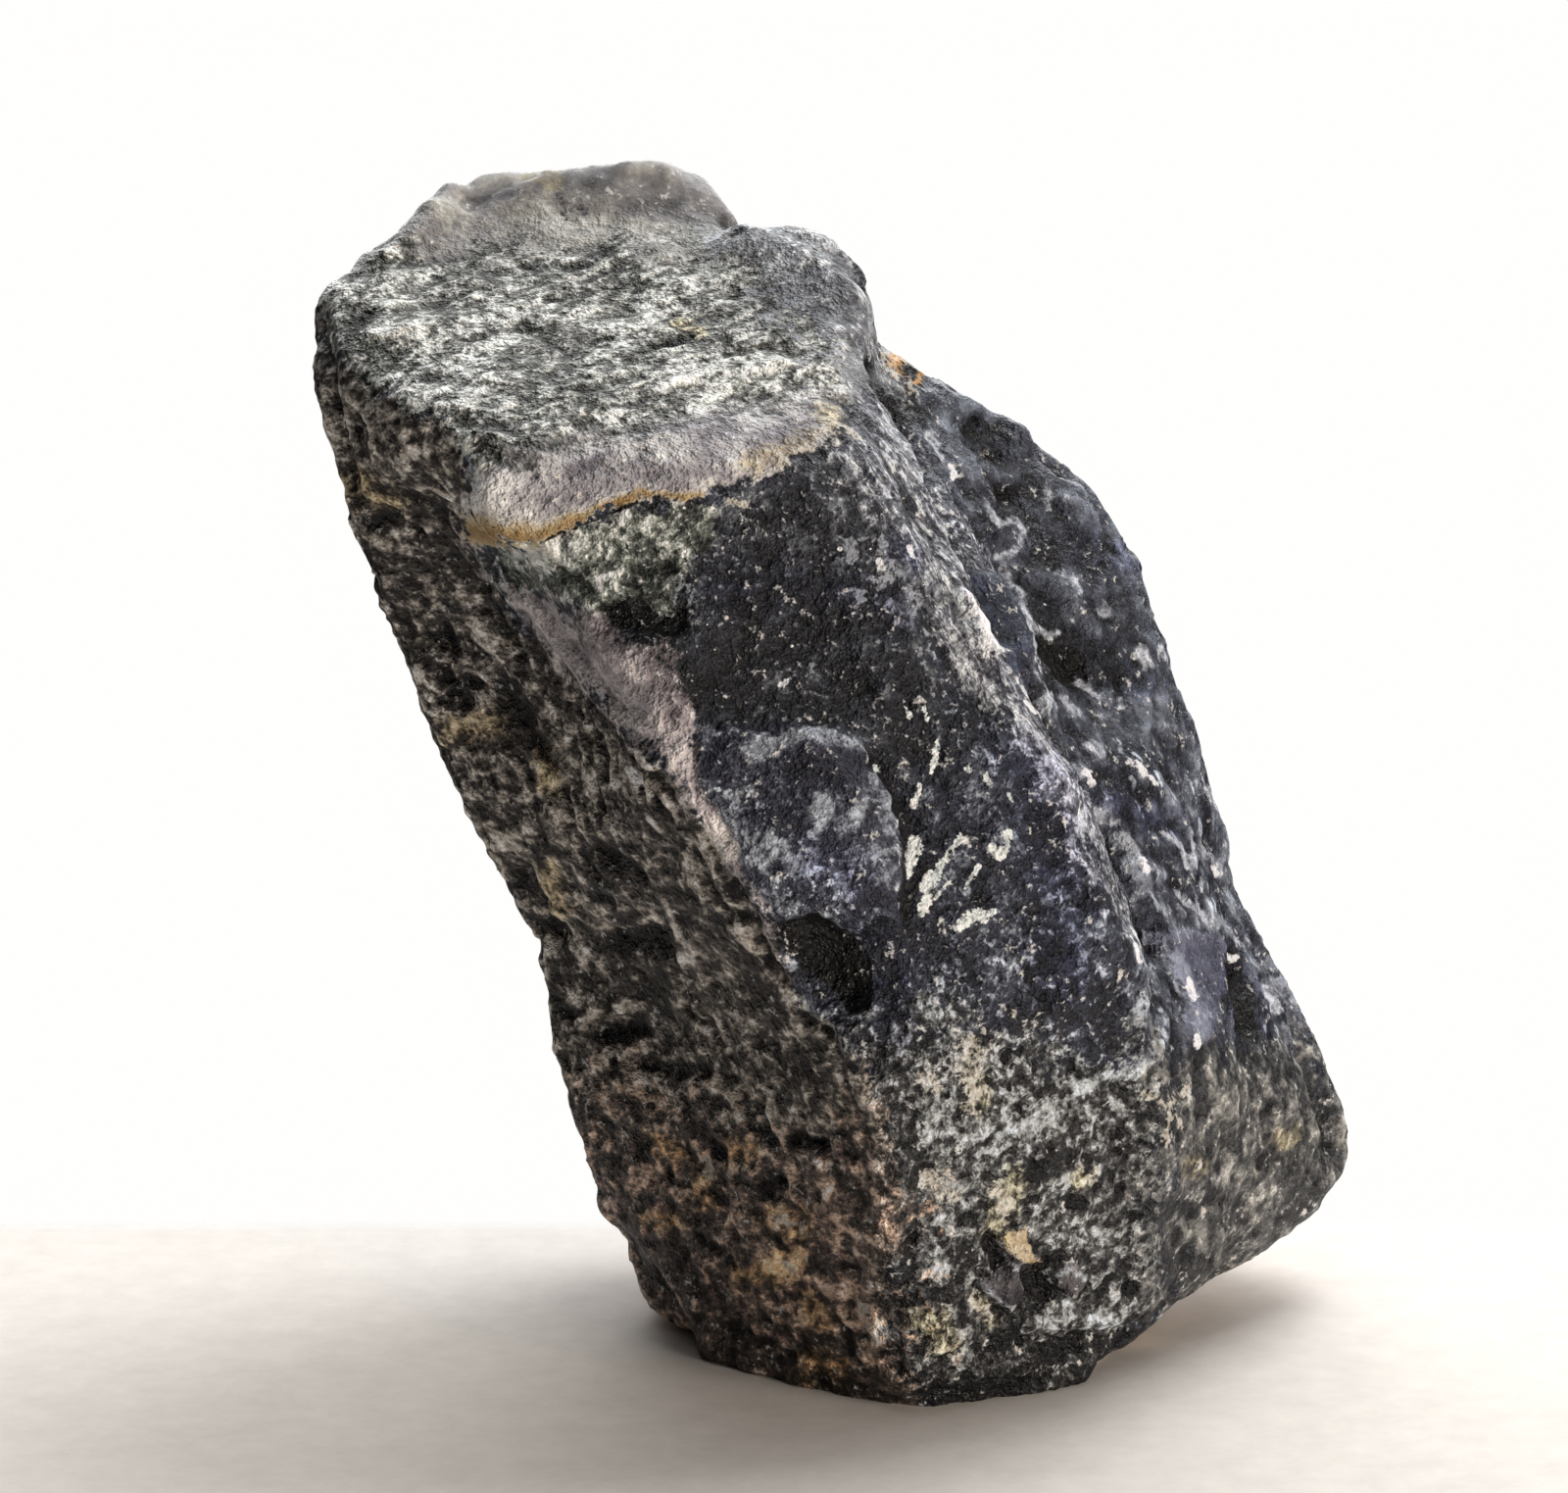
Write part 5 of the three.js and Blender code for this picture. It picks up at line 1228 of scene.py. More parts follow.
class Nodes:
    """Short ways to lay out a material's nodes."""

    def __init__(self, name):
        self.material = bpy.data.materials.new(name)
        self.material.use_nodes = True
        self.tree = self.material.node_tree
        self.tree.nodes.clear()

    def join(self, value, socket):
        if isinstance(value, bpy.types.NodeSocket):
            self.tree.links.new(value, socket)
        else:
            socket.default_value = value

    def add(self, kind, inputs=None, **settings):
        node = self.tree.nodes.new(kind)
        for key, value in settings.items():
            setattr(node, key, value)
        for key, value in (inputs or {}).items():
            self.join(value, node.inputs[key])
        return node

    def value(self, name):
        return self.add("ShaderNodeAttribute", attribute_name=name).outputs["Fac"]

    def place(self):
        """The place on the piece, in millimetres."""
        inner = self.add("ShaderNodeTexCoord").outputs["Object"]
        return self.add("ShaderNodeVectorMath", {0: inner, "Scale": 1 / MM}, operation="SCALE").outputs[0]

    def math(self, operation, first, second=0.0, third=0.0):
        return self.add("ShaderNodeMath", {0: first, 1: second, 2: third}, operation=operation).outputs[0]

    def noise(self, place, size, detail=3.0, roughness=0.6, distortion=0.0):
        given = {"Vector": place, "Scale": 1 / size, "Detail": detail, "Roughness": roughness,
                 "Distortion": distortion}
        return self.add("ShaderNodeTexNoise", given).outputs["Fac"]

    def parts(self, value):
        """A colour's or a direction's three parts."""
        return self.add("ShaderNodeSeparateColor", {0: value}).outputs

    def cells(self, place, size, feature="F1"):
        given = {"Vector": place, "Scale": 1 / size}
        return self.add("ShaderNodeTexVoronoi", given, feature=feature)

    def shaken(self, place, size, reach):
        """The place pushed about by noise of a size, as far as the reach."""
        given = {"Vector": place, "Scale": 1 / size, "Detail": 2.0}
        push = self.add("ShaderNodeTexNoise", given).outputs["Color"]
        centred = self.add("ShaderNodeVectorMath", {0: push, 1: (0.5, 0.5, 0.5)}, operation="SUBTRACT")
        given = {0: centred.outputs[0], 1: (2 * reach,) * 3, 2: place}
        return self.add("ShaderNodeVectorMath", given, operation="MULTIPLY_ADD").outputs[0]

    def drawn_out(self, place, way, stretch):
        """The place squeezed along a direction, so that a texture there comes out drawn out along it."""
        way = [float(x) for x in way]
        along = self.add("ShaderNodeVectorMath", {0: place, 1: way}, operation="DOT_PRODUCT").outputs["Value"]
        change = self.math("MULTIPLY", along, 1 / stretch - 1)
        step = self.add("ShaderNodeVectorMath", {0: way, "Scale": change}, operation="SCALE").outputs[0]
        return self.add("ShaderNodeVectorMath", {0: place, 1: step}, operation="ADD").outputs[0]

    def within(self, place, middle, radius):
        """1 inside a ball, with a narrow soft rim."""
        middle = tuple(float(x) for x in middle)
        away = self.add("ShaderNodeVectorMath", {0: place, 1: middle}, operation="DISTANCE").outputs["Value"]
        return self.span(away, radius, 0.6 * radius)

    def span(self, value, low, high):
        """0 up to the first value and 1 from the second on, with a soft step between."""
        if low > high:
            return self.math("SUBTRACT", 1.0, self.span(value, high, low))
        given = {"Value": value, "From Min": low, "From Max": high}
        return self.add("ShaderNodeMapRange", given, interpolation_type="SMOOTHSTEP").outputs["Result"]

    def mix(self, share, first, second, blend="MIX"):
        node = self.add("ShaderNodeMix", data_type="RGBA", blend_type=blend)
        for socket, value in ((node.inputs[0], share), (node.inputs[6], first), (node.inputs[7], second)):
            self.join(value, socket)
        return node.outputs[2]

    def ramp(self, value, stops):
        node = self.add("ShaderNodeValToRGB", {"Fac": value})
        elements = node.color_ramp.elements
        while len(elements) < len(stops):
            elements.new(0.5)
        for element, (position, colour) in zip(elements, stops):
            element.position = position
            element.color = colour
        return node.outputs["Color"]


def colour(red, green, blue, gains=(1, 1, 1)):
    """A colour as the eye reads it, 0 to 255, as light; the gains make its parts lighter or darker."""
    parts = []
    for part, gain in zip((red, green, blue), gains):
        part = part / 255
        light = part / 12.92 if part <= 0.04045 else ((part + 0.055) / 1.055) ** 2.4
        parts.append(min(0.95, light * gain))
    return (*parts, 1)


# What the light on a surface does to its colours: most of the front is lit by warm lamps, so its minerals are
# bluer than they look, and the top and the left by the white window.
WARM_LIT = (0.88, 1.0, 1.17)
WHITE_LIT = (0.95, 1.0, 1.04)

# Each look: which light falls on it, how much lighter the mineral is than it looks, for some sides are in the
# shade, how much its textures vary, the palette from its darkest twentieth to its palest, and how strongly
# each texture decides where on the palette a place lies. A negative weight on hollow darkens hollows as
# painted shade and makes crests paler as dust.
LOOKS = {
    "middle": (WARM_LIT, 1.0, 0.95,
               [(24, 24, 29), (38, 38, 45), (52, 52, 60), (82, 82, 88), (146, 145, 145)],
               {"scratches": 0.3, "lace": 0.5, "slivers": 0.35, "chips": 0.3, "grain": 0.4, "specks": 0.4,
                "mosaic": 0.3}),
    "lower": (WARM_LIT, 0.75, 1.05,
              [(26, 25, 25), (56, 53, 51), (96, 92, 87), (144, 139, 131), (205, 200, 190)],
              {"mosaic": 0.6, "grain": 0.6, "crumbs": 0.5, "lace": 0.25, "slivers": 0.3, "hollow": -0.3}),
    "upper": (WARM_LIT, 0.88, 1.25,
              [(25, 24, 26), (34, 33, 36), (43, 42, 46), (56, 55, 59), (102, 100, 99)],
              {"lace": 0.5, "broad": 0.3, "grain": 0.35, "specks": 0.6, "mosaic": 0.25, "hollow": -0.2}),
    "wing": (WARM_LIT, 0.49, 0.7,
             [(23, 23, 29), (49, 49, 57), (74, 75, 83), (98, 98, 106), (149, 150, 156)],
             {"lace": 0.6, "broad": 0.3, "slabs": 0.4, "crumbs": 0.3, "chips": 0.1, "flake": 0.3,
              "hollow": -0.25}),
    "folds": (WARM_LIT, 0.69, 0.87,
              [(27, 27, 36), (55, 55, 64), (87, 87, 94), (123, 122, 126), (183, 182, 184)],
              {"lace": 0.4, "slabs": 0.45, "crumbs": 0.3, "mosaic": 0.15, "slivers": 0.5, "flake": 0.35,
               "hollow": -0.2}),
    "corner": (WARM_LIT, 0.65, 0.95,
               [(38, 37, 36), (66, 64, 62), (92, 88, 84), (124, 117, 108), (168, 158, 145)],
               {"mosaic": 0.25, "crumbs": 0.6, "lace": 0.45, "grain": 0.2, "hollow": -0.2}),
    "left": (WHITE_LIT, 2.35, 1.1,
             [(16, 14, 13), (36, 32, 29), (58, 53, 49), (86, 79, 73), (132, 123, 113)],
             {"nets": 0.3, "strands": 0.2, "clods": 0.8, "crumbs": 0.2, "grain": 0.3, "lace": 0.4,
              "mosaic": 0.2, "hollow": -0.4}),
    "rust": (WHITE_LIT, 2.7, 0.86,
             [(19, 16, 15), (37, 32, 29), (58, 49, 45), (89, 75, 67), (145, 122, 105)],
             {"nets": 0.15, "clods": 0.8, "crumbs": 0.25, "lace": 0.5, "grain": 0.35, "mosaic": 0.25,
              "hollow": -0.4}),
    "top": (WHITE_LIT, 1.2, 1.1,
            [(42, 42, 37), (94, 92, 86), (136, 134, 127), (178, 175, 168), (230, 227, 218)],
            {"dashes": 0.6, "grain": 0.4, "mosaic": 0.35, "crumbs": 0.4, "lace": 0.4, "relief": 0.2,
             "hollow": -0.2}),
    "block": (WHITE_LIT, 1.35, 0.62,
              [(84, 82, 82), (110, 106, 105), (127, 123, 119), (145, 141, 134), (172, 168, 161)],
              {"lace": 0.6, "broad": 0.5, "crumbs": 0.25}),
    "hump": (WHITE_LIT, 1.32, 0.58,
             [(56, 56, 59), (86, 86, 90), (110, 110, 113), (135, 135, 138), (190, 190, 190)],
             {"lace": 0.5, "grain": 0.4, "crumbs": 0.3, "specks": 0.3, "hollow": -0.2}),
    "grains": (WARM_LIT, 2.4, 0.75,
               [(22, 22, 18), (56, 56, 49), (90, 88, 78), (132, 129, 116), (190, 187, 172)],
               {"mosaic": 0.4, "slabs": 0.3, "crumbs": 0.6, "grain": 0.4}),
    "strip": (WHITE_LIT, 2.5, 0.45,
              [(60, 54, 56), (86, 79, 80), (104, 97, 98), (121, 113, 113), (160, 150, 145)],
              {"lace": 0.5, "crumbs": 0.6, "mosaic": 0.25, "grain": 0.3, "hollow": -0.2}),
    "plate": (WARM_LIT, 0.64, 0.95,
              [(35, 34, 44), (49, 48, 58), (65, 64, 74), (95, 93, 100), (170, 167, 167)],
              {"lace": 0.4, "grain": 0.35, "specks": 0.4, "mosaic": 0.25, "slabs": 0.25}),
    # The pits' near-black is painted shade in deep hollows.
    "pit": (WARM_LIT, 0.11, 1.4,
            [(8, 8, 9), (14, 14, 15), (19, 19, 21), (27, 27, 30), (52, 52, 55)],
            {"lace": 0.6, "grain": 0.5, "mosaic": 0.3}),
    "ridge": (WHITE_LIT, 0.92, 1.0,
              [(38, 39, 46), (74, 75, 83), (110, 110, 117), (150, 150, 156), (210, 210, 213)],
              {"fibres": 0.45, "hairs": 0.5, "slivers": 0.4, "grain": 0.45, "mosaic": 0.2, "relief": 0.3}),
    "facet": (WARM_LIT, 1.0, 0.55,
              [(32, 33, 40), (42, 44, 54), (50, 52, 64), (62, 64, 76), (94, 96, 106)],
              {"lace": 0.8, "broad": 0.3}),
    "haze": (WHITE_LIT, 1.3, 0.8,
             [(58, 58, 58), (100, 98, 98), (132, 129, 128), (165, 161, 158), (222, 219, 214)],
             {"lace": 0.5, "crumbs": 0.6, "mosaic": 0.25, "grain": 0.25, "dashes": 0.3}),
    "band": (WHITE_LIT, 1.48, 0.55,
             [(100, 95, 99), (136, 130, 132), (160, 155, 154), (182, 177, 174), (207, 203, 199)],
             {"broad": 0.5, "lace": 0.6, "grain": 0.3, "specks": 0.35}),
    "violet": (WARM_LIT, 0.58, 0.7,
               [(73, 72, 83), (97, 95, 109), (115, 112, 126), (143, 140, 151), (186, 184, 194)],
               {"broad": 0.4, "lace": 0.6, "grain": 0.2, "specks": 0.2}),
    "nodules": (WHITE_LIT, 0.6, 1.3,
                [(70, 66, 70), (90, 86, 90), (106, 101, 104), (122, 117, 119), (150, 144, 144)],
                {"broad": 0.5, "lace": 0.7}),
    "chip": (WHITE_LIT, 0.85, 0.55,
             [(130, 108, 82), (165, 142, 110), (186, 164, 132), (202, 182, 152), (220, 205, 180)],
             {"lace": 0.7, "grain": 0.4}),
}

# Where a palette's five colours lie, in deviations of the texture, how far it goes on beyond them, what part
# of the ramp a deviation takes, and how much calmer the textures are for each step of a patch.
PALETTE_PLACES = (-1.65, -0.67, 0.0, 0.67, 1.65)
BEYOND = 3.4
TONE_STEP = 0.14
PATCH_CALM = 0.12


class Tones:
    """Textures that each spread about nought with a deviation of one, so that they can be weighed."""

    def __init__(self, nodes, place, ways):
        self.n = nodes
        shaken = nodes.shaken(place, 1.2, 0.7)
        ragged = nodes.shaken(nodes.shaken(place, 0.9, 0.45), 0.22, 0.10)
        self.made = {
            "grain": self.cloudy(place, 0.40, 2, 0.75),
            "lace": self.cloudy(place, 2.0, 4, 0.72),
            "broad": self.cloudy(place, 6.0, 3, 0.6),
            "crumbs": self.cloudy(place, 0.9, 3, 0.7),
            "dashes": self.cloudy(nodes.drawn_out(place, ways["top"], 1.7), 0.5, 3, 0.8),
            "strands": self.lines(nodes.drawn_out(place, ways["left"], 2.2), 0.9, 3, 0.75, 0.5),
            "clods": self.cloudy(nodes.drawn_out(place, ways["across"], 2.4), 0.85, 3, 0.75),
            "nets": self.nets(nodes.drawn_out(shaken, ways["across"], 2.0), 1.1),
            "slivers": self.flecks(nodes.drawn_out(ragged, ways["ridge"], 2.8), 0.6, 0.35),
            "chips": self.flecks(nodes.drawn_out(ragged, ways["flakes"], 1.8), 1.0, 0.22),
            "mosaic": self.mosaic(ragged, 0.36),
            "slabs": self.mosaic(nodes.drawn_out(ragged, ways["ridge"], 1.4), 1.3),
            "flake": self.centred(nodes.value("flake"), 0.57, 0.0),
            "fibres": self.cloudy(nodes.drawn_out(place, ways["ridge"], 5.5), 0.5, 3, 0.8, 0.2),
            "scratches": self.lines(nodes.drawn_out(place, ways["flakes"], 4.0), 1.3, 3, 0.75, 0.3),
            "hairs": self.lines(nodes.drawn_out(place, ways["ridge"], 4.0), 0.8, 3, 0.75, 0.4),
            "relief": self.centred(nodes.value("relief"), 0.25),
            "hollow": self.centred(nodes.value("hollow"), 0.2),
        }
        self.made["specks"] = self.specks(self.cloudy(place, 0.6, 2, 0.65), self.made["broad"])

    def centred(self, value, deviation, middle=0.5):
        return self.n.math("MULTIPLY_ADD", value, 1 / deviation, -middle / deviation)

    def cloudy(self, place, size, detail, roughness, distortion=0.0):
        shares = [roughness**k for k in range(detail + 1)]
        deviation = 0.137 * math.sqrt(sum(share * share for share in shares)) / sum(shares)
        return self.centred(self.n.noise(place, size, detail, roughness, distortion), deviation)

    def lines(self, place, size, detail, roughness, distortion):
        """Thin pale lines where a cloudy texture crosses its middle."""
        away = self.n.math("ABSOLUTE", self.cloudy(place, size, detail, roughness, distortion))
        return self.centred(self.n.span(away, 0.65, 0.0), 0.36, 0.25)

    def nets(self, place, size):
        """Pale threads round dark cells."""
        edge = self.n.cells(place, size, "DISTANCE_TO_EDGE").outputs["Distance"]
        return self.centred(self.n.span(edge, 0.16, 0.0), 0.36, 0.38)

    def flecks(self, place, size, share):
        """Small pale flakes of uneven size and paleness, a share of all the cells having one."""
        cell = self.n.cells(place, size)
        draws = self.n.parts(cell.outputs["Color"])
        chosen = self.n.math("GREATER_THAN", draws[0], 1 - share)
        radius = self.n.math("MULTIPLY_ADD", draws[1], 0.25, 0.2)
        near = self.n.span(self.n.math("SUBTRACT", cell.outputs["Distance"], radius), 0.08, -0.08)
        paleness = self.n.math("MULTIPLY_ADD", draws[2], 0.7, 0.3)
        fleck = self.n.math("MULTIPLY", self.n.math("MULTIPLY", near, chosen), paleness)
        return self.centred(fleck, 0.16, 0.25 * share)

    def specks(self, fine, broad):
        """Pale uneven specks, thicker in some places than in others."""
        both = self.n.math("MULTIPLY_ADD", broad, 0.7, fine)
        return self.centred(self.n.span(both, 1.4, 3.4), 0.13, 0.035)

    def mosaic(self, place, size):
        """Small grains side by side, each of one tone."""
        return self.centred(self.n.parts(self.n.cells(place, size).outputs["Color"])[0], 0.29)

    def mixed(self, weights, strength, patch):
        """The weighed textures, moved up or down by the patches, and calmer there."""
        whole = math.sqrt(sum(weight * weight for weight in weights.values())) / strength
        total = 0.0
        for name, weight in weights.items():
            total = self.n.math("MULTIPLY_ADD", self.made[name], weight / whole, total)
        calm = self.n.math("MULTIPLY_ADD", self.n.math("ABSOLUTE", patch), -PATCH_CALM, 1.0)
        return self.n.math("MULTIPLY_ADD", total, calm, patch)


def palette(nodes, tone, tones, gains):
    """The colour at a tone, from a palette's five colours, going on darker and paler beyond its ends."""
    at = nodes.math("MULTIPLY_ADD", tone, TONE_STEP, 0.5)
    darkest = [0.6 * part for part in tones[0]]
    palest = [min(250, 1.5 * part) for part in tones[-1]]
    places = (-BEYOND, *PALETTE_PLACES, BEYOND)
    each = [darkest, *tones, palest]
    stops = [(0.5 + place * TONE_STEP, colour(*one, gains=gains)) for place, one in zip(places, each)]
    return nodes.ramp(at, stops)


# Painted shade: the sides that face the light behind are darkened in colour, as dark as the front is in its
# shade.
AWAY_GAIN = 0.5

# How deep the grain is that only the shading shows, in mm.
BUMP_DEPTH = 0.05


def looks_of_stone(n, tones, away, edge):
    """The colour of each kind of surface where it lies, each over the one before."""
    patch = n.value("patch")
    shown = None
    for name, (light, level, strength, colours, weights) in LOOKS.items():
        gains = [level * part for part in light]
        look = palette(n, tones.mixed(weights, strength, patch), colours, gains)
        # On the sides that face the light behind, painted shade takes the place of the level.
        dimmed = AWAY_GAIN / level
        look = n.mix(away, look, (dimmed, dimmed, dimmed, 1), "MULTIPLY")
        if shown is None:
            shown = look
            continue
        share = n.span(n.math("ADD", n.value("in_" + name), edge), *BORDER)
        shown = n.mix(share, shown, look)
    return shown


def shaded_hollows_pale_crests(n, shown):
    """Painted shade darkens the hollows, and crests are rubbed pale."""
    hollow = n.value("hollow")
    pit = n.math("MULTIPLY", n.span(hollow, 0.62, 0.95), -0.5)
    crest = n.math("MULTIPLY", n.span(hollow, 0.36, 0.1), 0.15)
    scale = n.math("ADD", n.math("ADD", pit, crest), 1.0)
    return n.add("ShaderNodeVectorMath", {0: shown, "Scale": scale}, operation="SCALE").outputs[0]


def painted_sparkles(n, p, lace, away, shown):
    """Painted highlights: tiny pale spots for glassy faces catching the light, but not on calm surfaces."""
    cells = n.cells(n.shaken(p, 0.3, 0.08), 0.42)
    chosen = n.math("GREATER_THAN", n.parts(cells.outputs["Color"])[0], 0.86)
    spark = n.math("MULTIPLY", n.span(cells.outputs["Distance"], 0.3, 0.12), chosen)
    spark = n.math("MULTIPLY", spark, n.span(lace, -1.0, 1.2))
    for calm in ("in_wing", "in_pit", "in_facet"):
        spark = n.math("MULTIPLY", spark, n.span(n.value(calm), 0.55, 0.45))
    spark = n.math("MULTIPLY", spark, n.span(away, 1.2, 0.0))
    return n.mix(n.math("MULTIPLY", spark, 0.35), shown, colour(215, 214, 212))


def mark_colours(n, grain, crumbs):
    """The colour of each kind of mark, and how it is laid on."""
    shade = n.math("MULTIPLY_ADD", crumbs, 0.08, n.math("MULTIPLY_ADD", grain, 0.10, 0.5))

    def pale(gains, *tones):
        return n.ramp(shade, [(0.25 + 0.25 * k, colour(*tone, gains)) for k, tone in enumerate(tones)])

    depth = n.math("MULTIPLY_ADD", crumbs, 0.08, n.value("mark_amber"))
    depths = [(0.1, colour(200, 194, 182)), (0.55, colour(182, 164, 130)), (0.95, colour(150, 122, 82))]
    return {
        "ochre": ((1.22, 1.08, 0.74, 1), "MULTIPLY"),
        "indigo": ((0.90, 0.92, 1.16, 1), "MULTIPLY"),
        "straw": (pale((0.97, 1.04, 1.24), (112, 104, 88), (184, 174, 150), (220, 213, 194)), "MIX"),
        "cream": (pale((1.5, 1.75, 2.0), (130, 126, 120), (188, 182, 172), (215, 210, 202)), "MIX"),
        "grey": (pale((1.2, 1.27, 1.36), (96, 97, 102), (150, 151, 156), (196, 197, 202)), "MIX"),
        "white": (colour(215, 216, 222, (1.3, 1.3, 1.3)), "MIX"),
        "amber": (n.ramp(depth, depths), "MIX"),
        "orange": (colour(196, 148, 88), "MIX"),
        "black": (colour(14, 13, 15), "MIX"),
    }


# How a mark ends: the values between which it comes in, how uneven that is, and how strongly it covers.
MARK_EDGES = {
    "ochre": (0.2, 0.8, 1.0, 0.9),
    "indigo": (0.1, 0.8, 1.0, 0.8),
    "straw": (0.35, 0.8, 2.0, 0.75),
    "cream": (0.38, 0.62, 1.1, 0.92),
    "grey": (0.12, 0.85, 0.9, 0.85),
    "white": (0.4, 0.7, 1.0, 0.8),
    "amber": (0.0, 0.75, 0.4, 1.0),
    "orange": (0.3, 0.7, 1.0, 0.85),
    "black": (0.4, 0.8, 1.0, 1.0),
}


def marked(n, grain, crumbs, edge, shown):
    """The marks, laid over the looks. The amber one keeps to the pale band."""
    uneven = n.math("MULTIPLY_ADD", grain, 0.09, n.math("MULTIPLY", crumbs, 0.10))
    in_band = n.span(n.math("ADD", n.value("in_band"), edge), 0.44, 0.52)
    for name, (paint, blend) in mark_colours(n, grain, crumbs).items():
        low, high, rough, cover = MARK_EDGES[name]
        share = n.span(n.math("MULTIPLY_ADD", uneven, rough, n.value("mark_" + name)), low, high)
        share = n.math("MULTIPLY", share, in_band if name == "amber" else cover)
        shown = n.mix(share, shown, paint, blend)
    return shown


def glinting(n, p, caster, shown):
    """The single points of light, painted white as highlights."""
    glint = 0.0
    jagged = n.shaken(p, 0.12, 0.05)
    for radius, pixel in GLINTS:
        place = caster.place(pixel)[0]
        glint = n.math("MAXIMUM", glint, n.within(jagged, place, radius / PIXELS_PER_MM))
    return n.mix(glint, shown, colour(250, 250, 250))


def stone_material(ways, caster):
    n = Nodes("iolite")
    p = n.place()
    tones = Tones(n, p, ways)
    grain, lace, crumbs = (tones.made[name] for name in ("grain", "lace", "crumbs"))
    away = n.value("away")
    edge = n.math("MULTIPLY_ADD", grain, 0.03, n.math("MULTIPLY", lace, 0.07))
    shown = shaded_hollows_pale_crests(n, looks_of_stone(n, tones, away, edge))
    shown = painted_sparkles(n, p, lace, away, shown)
    shown = marked(n, grain, crumbs, edge, shown)
    shown = glinting(n, p, caster, shown)
    height = n.math("MULTIPLY_ADD", grain, 0.5, n.math("MULTIPLY_ADD", crumbs, 0.8, lace))
    height = n.math("MULTIPLY", height, n.span(n.value("in_block"), 0.9, 0.3))
    bump = n.add("ShaderNodeBump", {"Height": height, "Strength": 1.0, "Distance": BUMP_DEPTH * MM})
    surface = n.add(
        "ShaderNodeBsdfPrincipled",
        {"Base Color": shown, "Roughness": 0.48, "Specular IOR Level": 0.25, "Normal": bump.outputs[0]},
    )
    n.add("ShaderNodeOutputMaterial", {"Surface": surface.outputs[0]})
    return n.material


# The floor ends in the white of the background, between these places behind the stone, in mm.
FLOOR_FADES_FROM = 14.5
FLOOR_GONE_BY = 17.5


def floor_material():
    n = Nodes("floor")
    place = n.place()
    mottled = n.noise(place, 2.5, detail=5.0, roughness=0.75)
    paper = n.ramp(mottled, [(0.3, colour(229, 224, 218)), (0.7, colour(242, 237, 231))])
    dust = n.cells(place, 9.0)
    rare = n.math("GREATER_THAN", n.parts(dust.outputs["Color"])[0], 0.8)
    speck = n.math("MULTIPLY", n.span(dust.outputs["Distance"], 0.022, 0.012), rare)
    paper = n.mix(n.math("MULTIPLY", speck, 0.6), paper, colour(120, 105, 90))
    surface = n.add("ShaderNodeBsdfPrincipled",
                    {"Base Color": paper, "Roughness": 0.9, "Specular IOR Level": 0.1})
    back = n.add("ShaderNodeSeparateXYZ", {0: place}).outputs["Y"]
    clear = n.add("ShaderNodeBsdfTransparent")
    share = n.span(back, FLOOR_FADES_FROM, FLOOR_GONE_BY)
    both = n.add("ShaderNodeMixShader", {0: share, 1: surface.outputs[0], 2: clear.outputs[0]})
    n.add("ShaderNodeOutputMaterial", {"Surface": both.outputs[0]})
    return n.material


# How far the floor reaches, in mm, towards the viewer, away from the viewer and to each side.
FLOOR_NEAR = -260
FLOOR_FAR = 60
FLOOR_SIDE = 400


def make_floor():
    corners = [(x, y, 0) for x, y in ((-FLOOR_SIDE, FLOOR_NEAR), (FLOOR_SIDE, FLOOR_NEAR),
                                      (FLOOR_SIDE, FLOOR_FAR), (-FLOOR_SIDE, FLOOR_FAR))]
    mesh = bpy.data.meshes.new("floor")
    mesh.from_pydata([tuple(c * MM for c in corner) for corner in corners], [], [(0, 1, 2, 3)])
    floor = bpy.data.objects.new("floor", mesh)
    bpy.context.scene.collection.objects.link(floor)
    mesh.materials.append(floor_material())


def make_camera():
    lens = bpy.data.cameras.new("camera")
    lens.lens = LENS
    lens.sensor_width = SENSOR_WIDTH
    camera = bpy.data.objects.new("camera", lens)
    camera.location = Vector(EYE * MM)
    camera.rotation_euler = (math.pi / 2 - ELEVATION, 0, 0)
    lens.clip_start = 0.01
    bpy.context.scene.collection.objects.link(camera)
    bpy.context.scene.camera = camera


WHITE = (1, 1, 1)
WARM = (1.0, 0.88, 0.76)

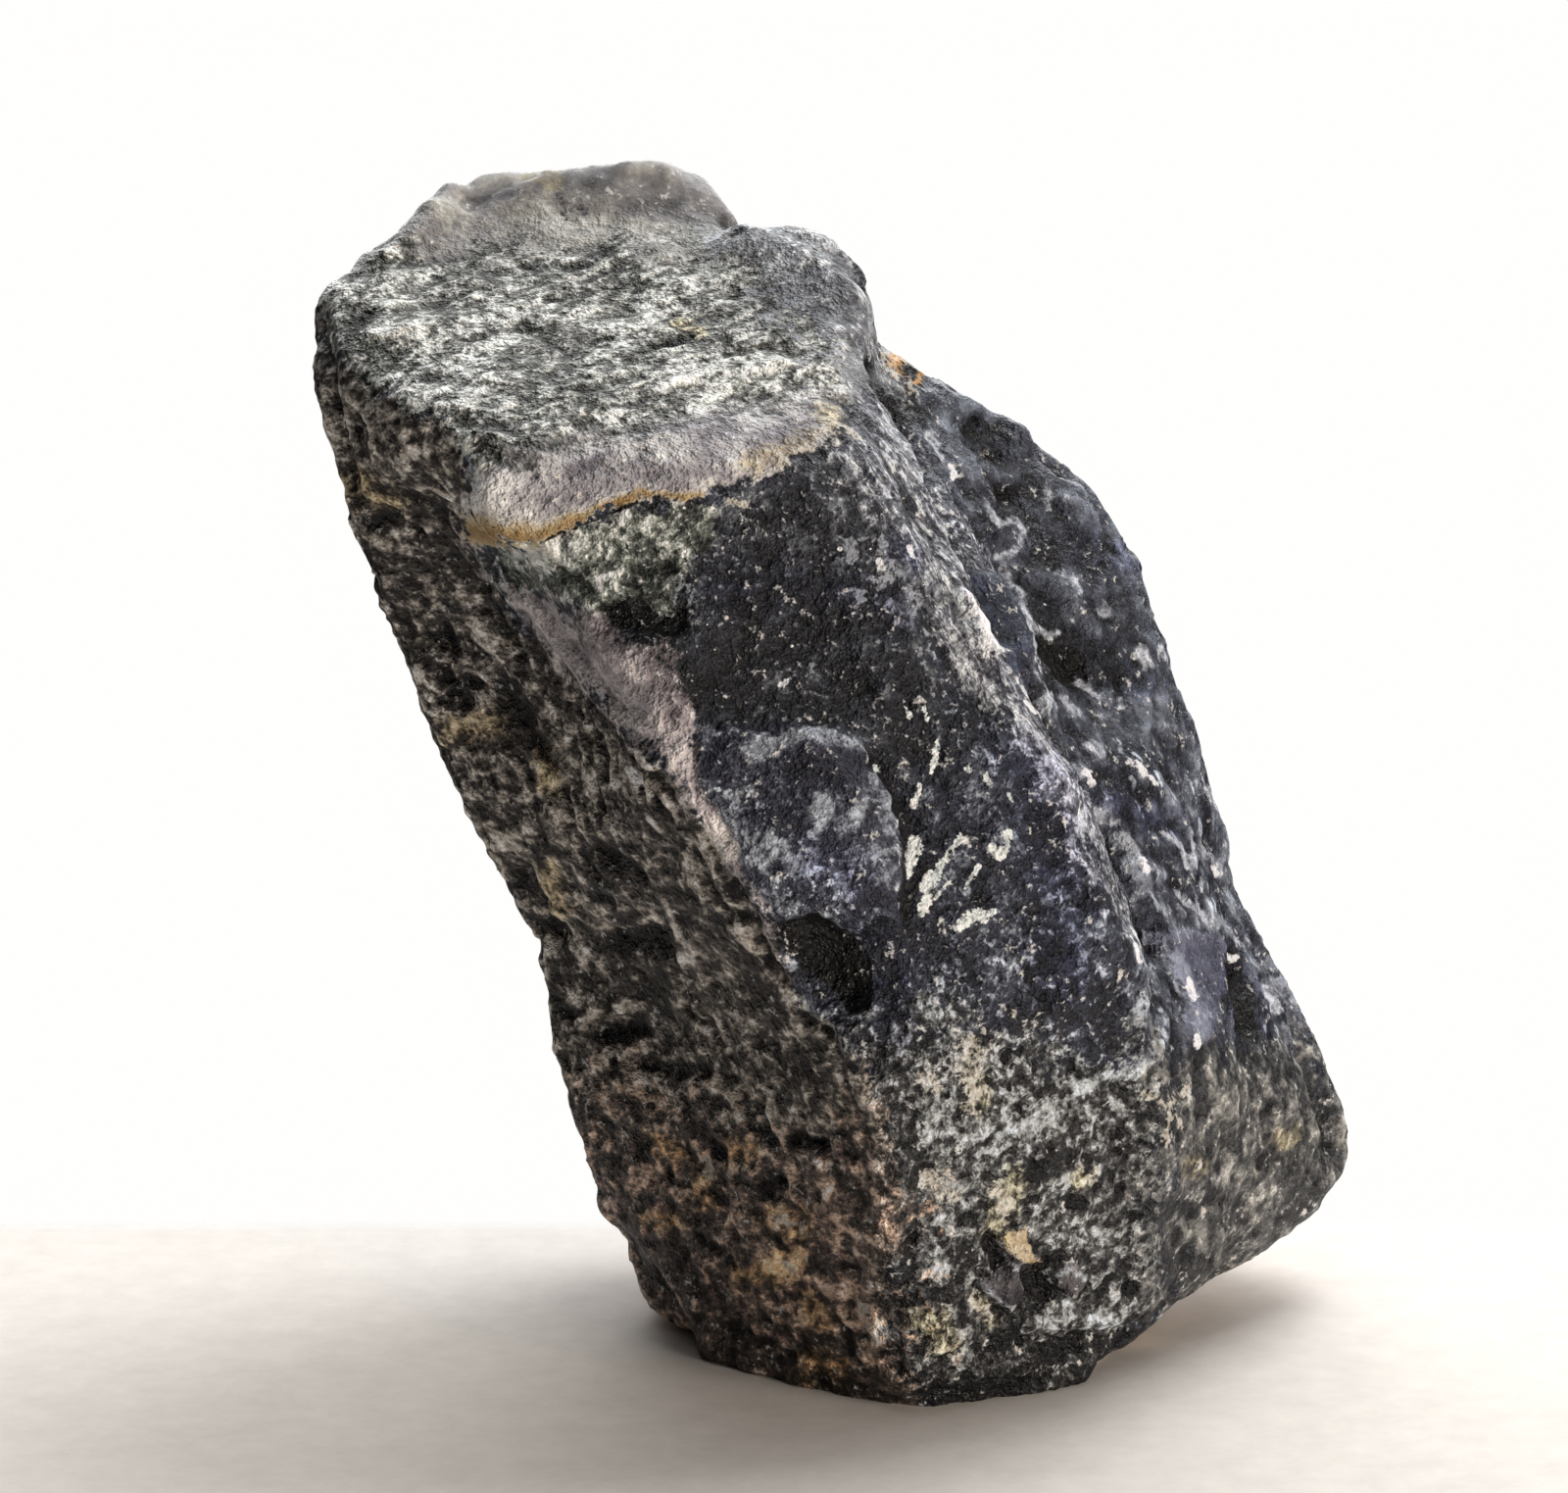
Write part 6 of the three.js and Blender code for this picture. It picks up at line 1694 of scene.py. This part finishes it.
# How strongly the surroundings glow, and each lamp's name, place, width and height in mm, power in watts and
# tint.
GLOW = 0.01
LAMPS = [
    ("window", (0, 420, 120), 400, 400, 1.45, WHITE),
    ("window_high", (0, 260, 260), 400, 400, 0.62, WHITE),
    ("window_right", (200, 230, 280), 400, 400, 0.36, WHITE),
    ("key", (130, 190, 400), 240, 240, 1.06, WHITE),
    ("overhead", (0, 0, 420), 400, 400, 0.36, WHITE),
    ("front_right", (320, -300, 90), 260, 260, 1.12, WARM),
    ("front_strip", (300, -300, 32), 300, 50, 0.8, WARM),
]


def make_light(name, place, width, height, power, tint):
    lamp = bpy.data.lights.new(name, "AREA")
    lamp.shape = "ELLIPSE"
    lamp.size = width * MM
    lamp.size_y = height * MM
    lamp.energy = power
    lamp.color = tint
    light = bpy.data.objects.new(name, lamp)
    light.location = Vector(place) * MM
    light.rotation_euler = (Vector(AIM) - Vector(place)).to_track_quat("-Z", "Y").to_euler()
    bpy.context.scene.collection.objects.link(light)


def make_world():
    """White where the camera sees the background, and a weaker even glow as light."""
    world = bpy.data.worlds.new("studio")
    bpy.context.scene.world = world
    world.use_nodes = True
    tree = world.node_tree
    tree.nodes.clear()
    path = tree.nodes.new("ShaderNodeLightPath")
    seen = tree.nodes.new("ShaderNodeBackground")
    seen.inputs["Color"].default_value = (1, 0.995, 0.985, 1)
    seen.inputs["Strength"].default_value = 1.0
    glow = tree.nodes.new("ShaderNodeBackground")
    glow.inputs["Color"].default_value = (1, 1, 1, 1)
    glow.inputs["Strength"].default_value = GLOW
    mix = tree.nodes.new("ShaderNodeMixShader")
    out = tree.nodes.new("ShaderNodeOutputWorld")
    tree.links.new(path.outputs["Is Camera Ray"], mix.inputs[0])
    tree.links.new(glow.outputs[0], mix.inputs[1])
    tree.links.new(seen.outputs[0], mix.inputs[2])
    tree.links.new(mix.outputs[0], out.inputs[0])


bpy.context.scene.view_settings.view_transform = "Standard"
make_camera()
make_world()
for lamp in LAMPS:
    make_light(*lamp)
make_floor()
stone, ways, caster = stone_mesh()
stone.data.materials.append(stone_material(ways, caster))
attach(stone, "root")
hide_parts("crystal")
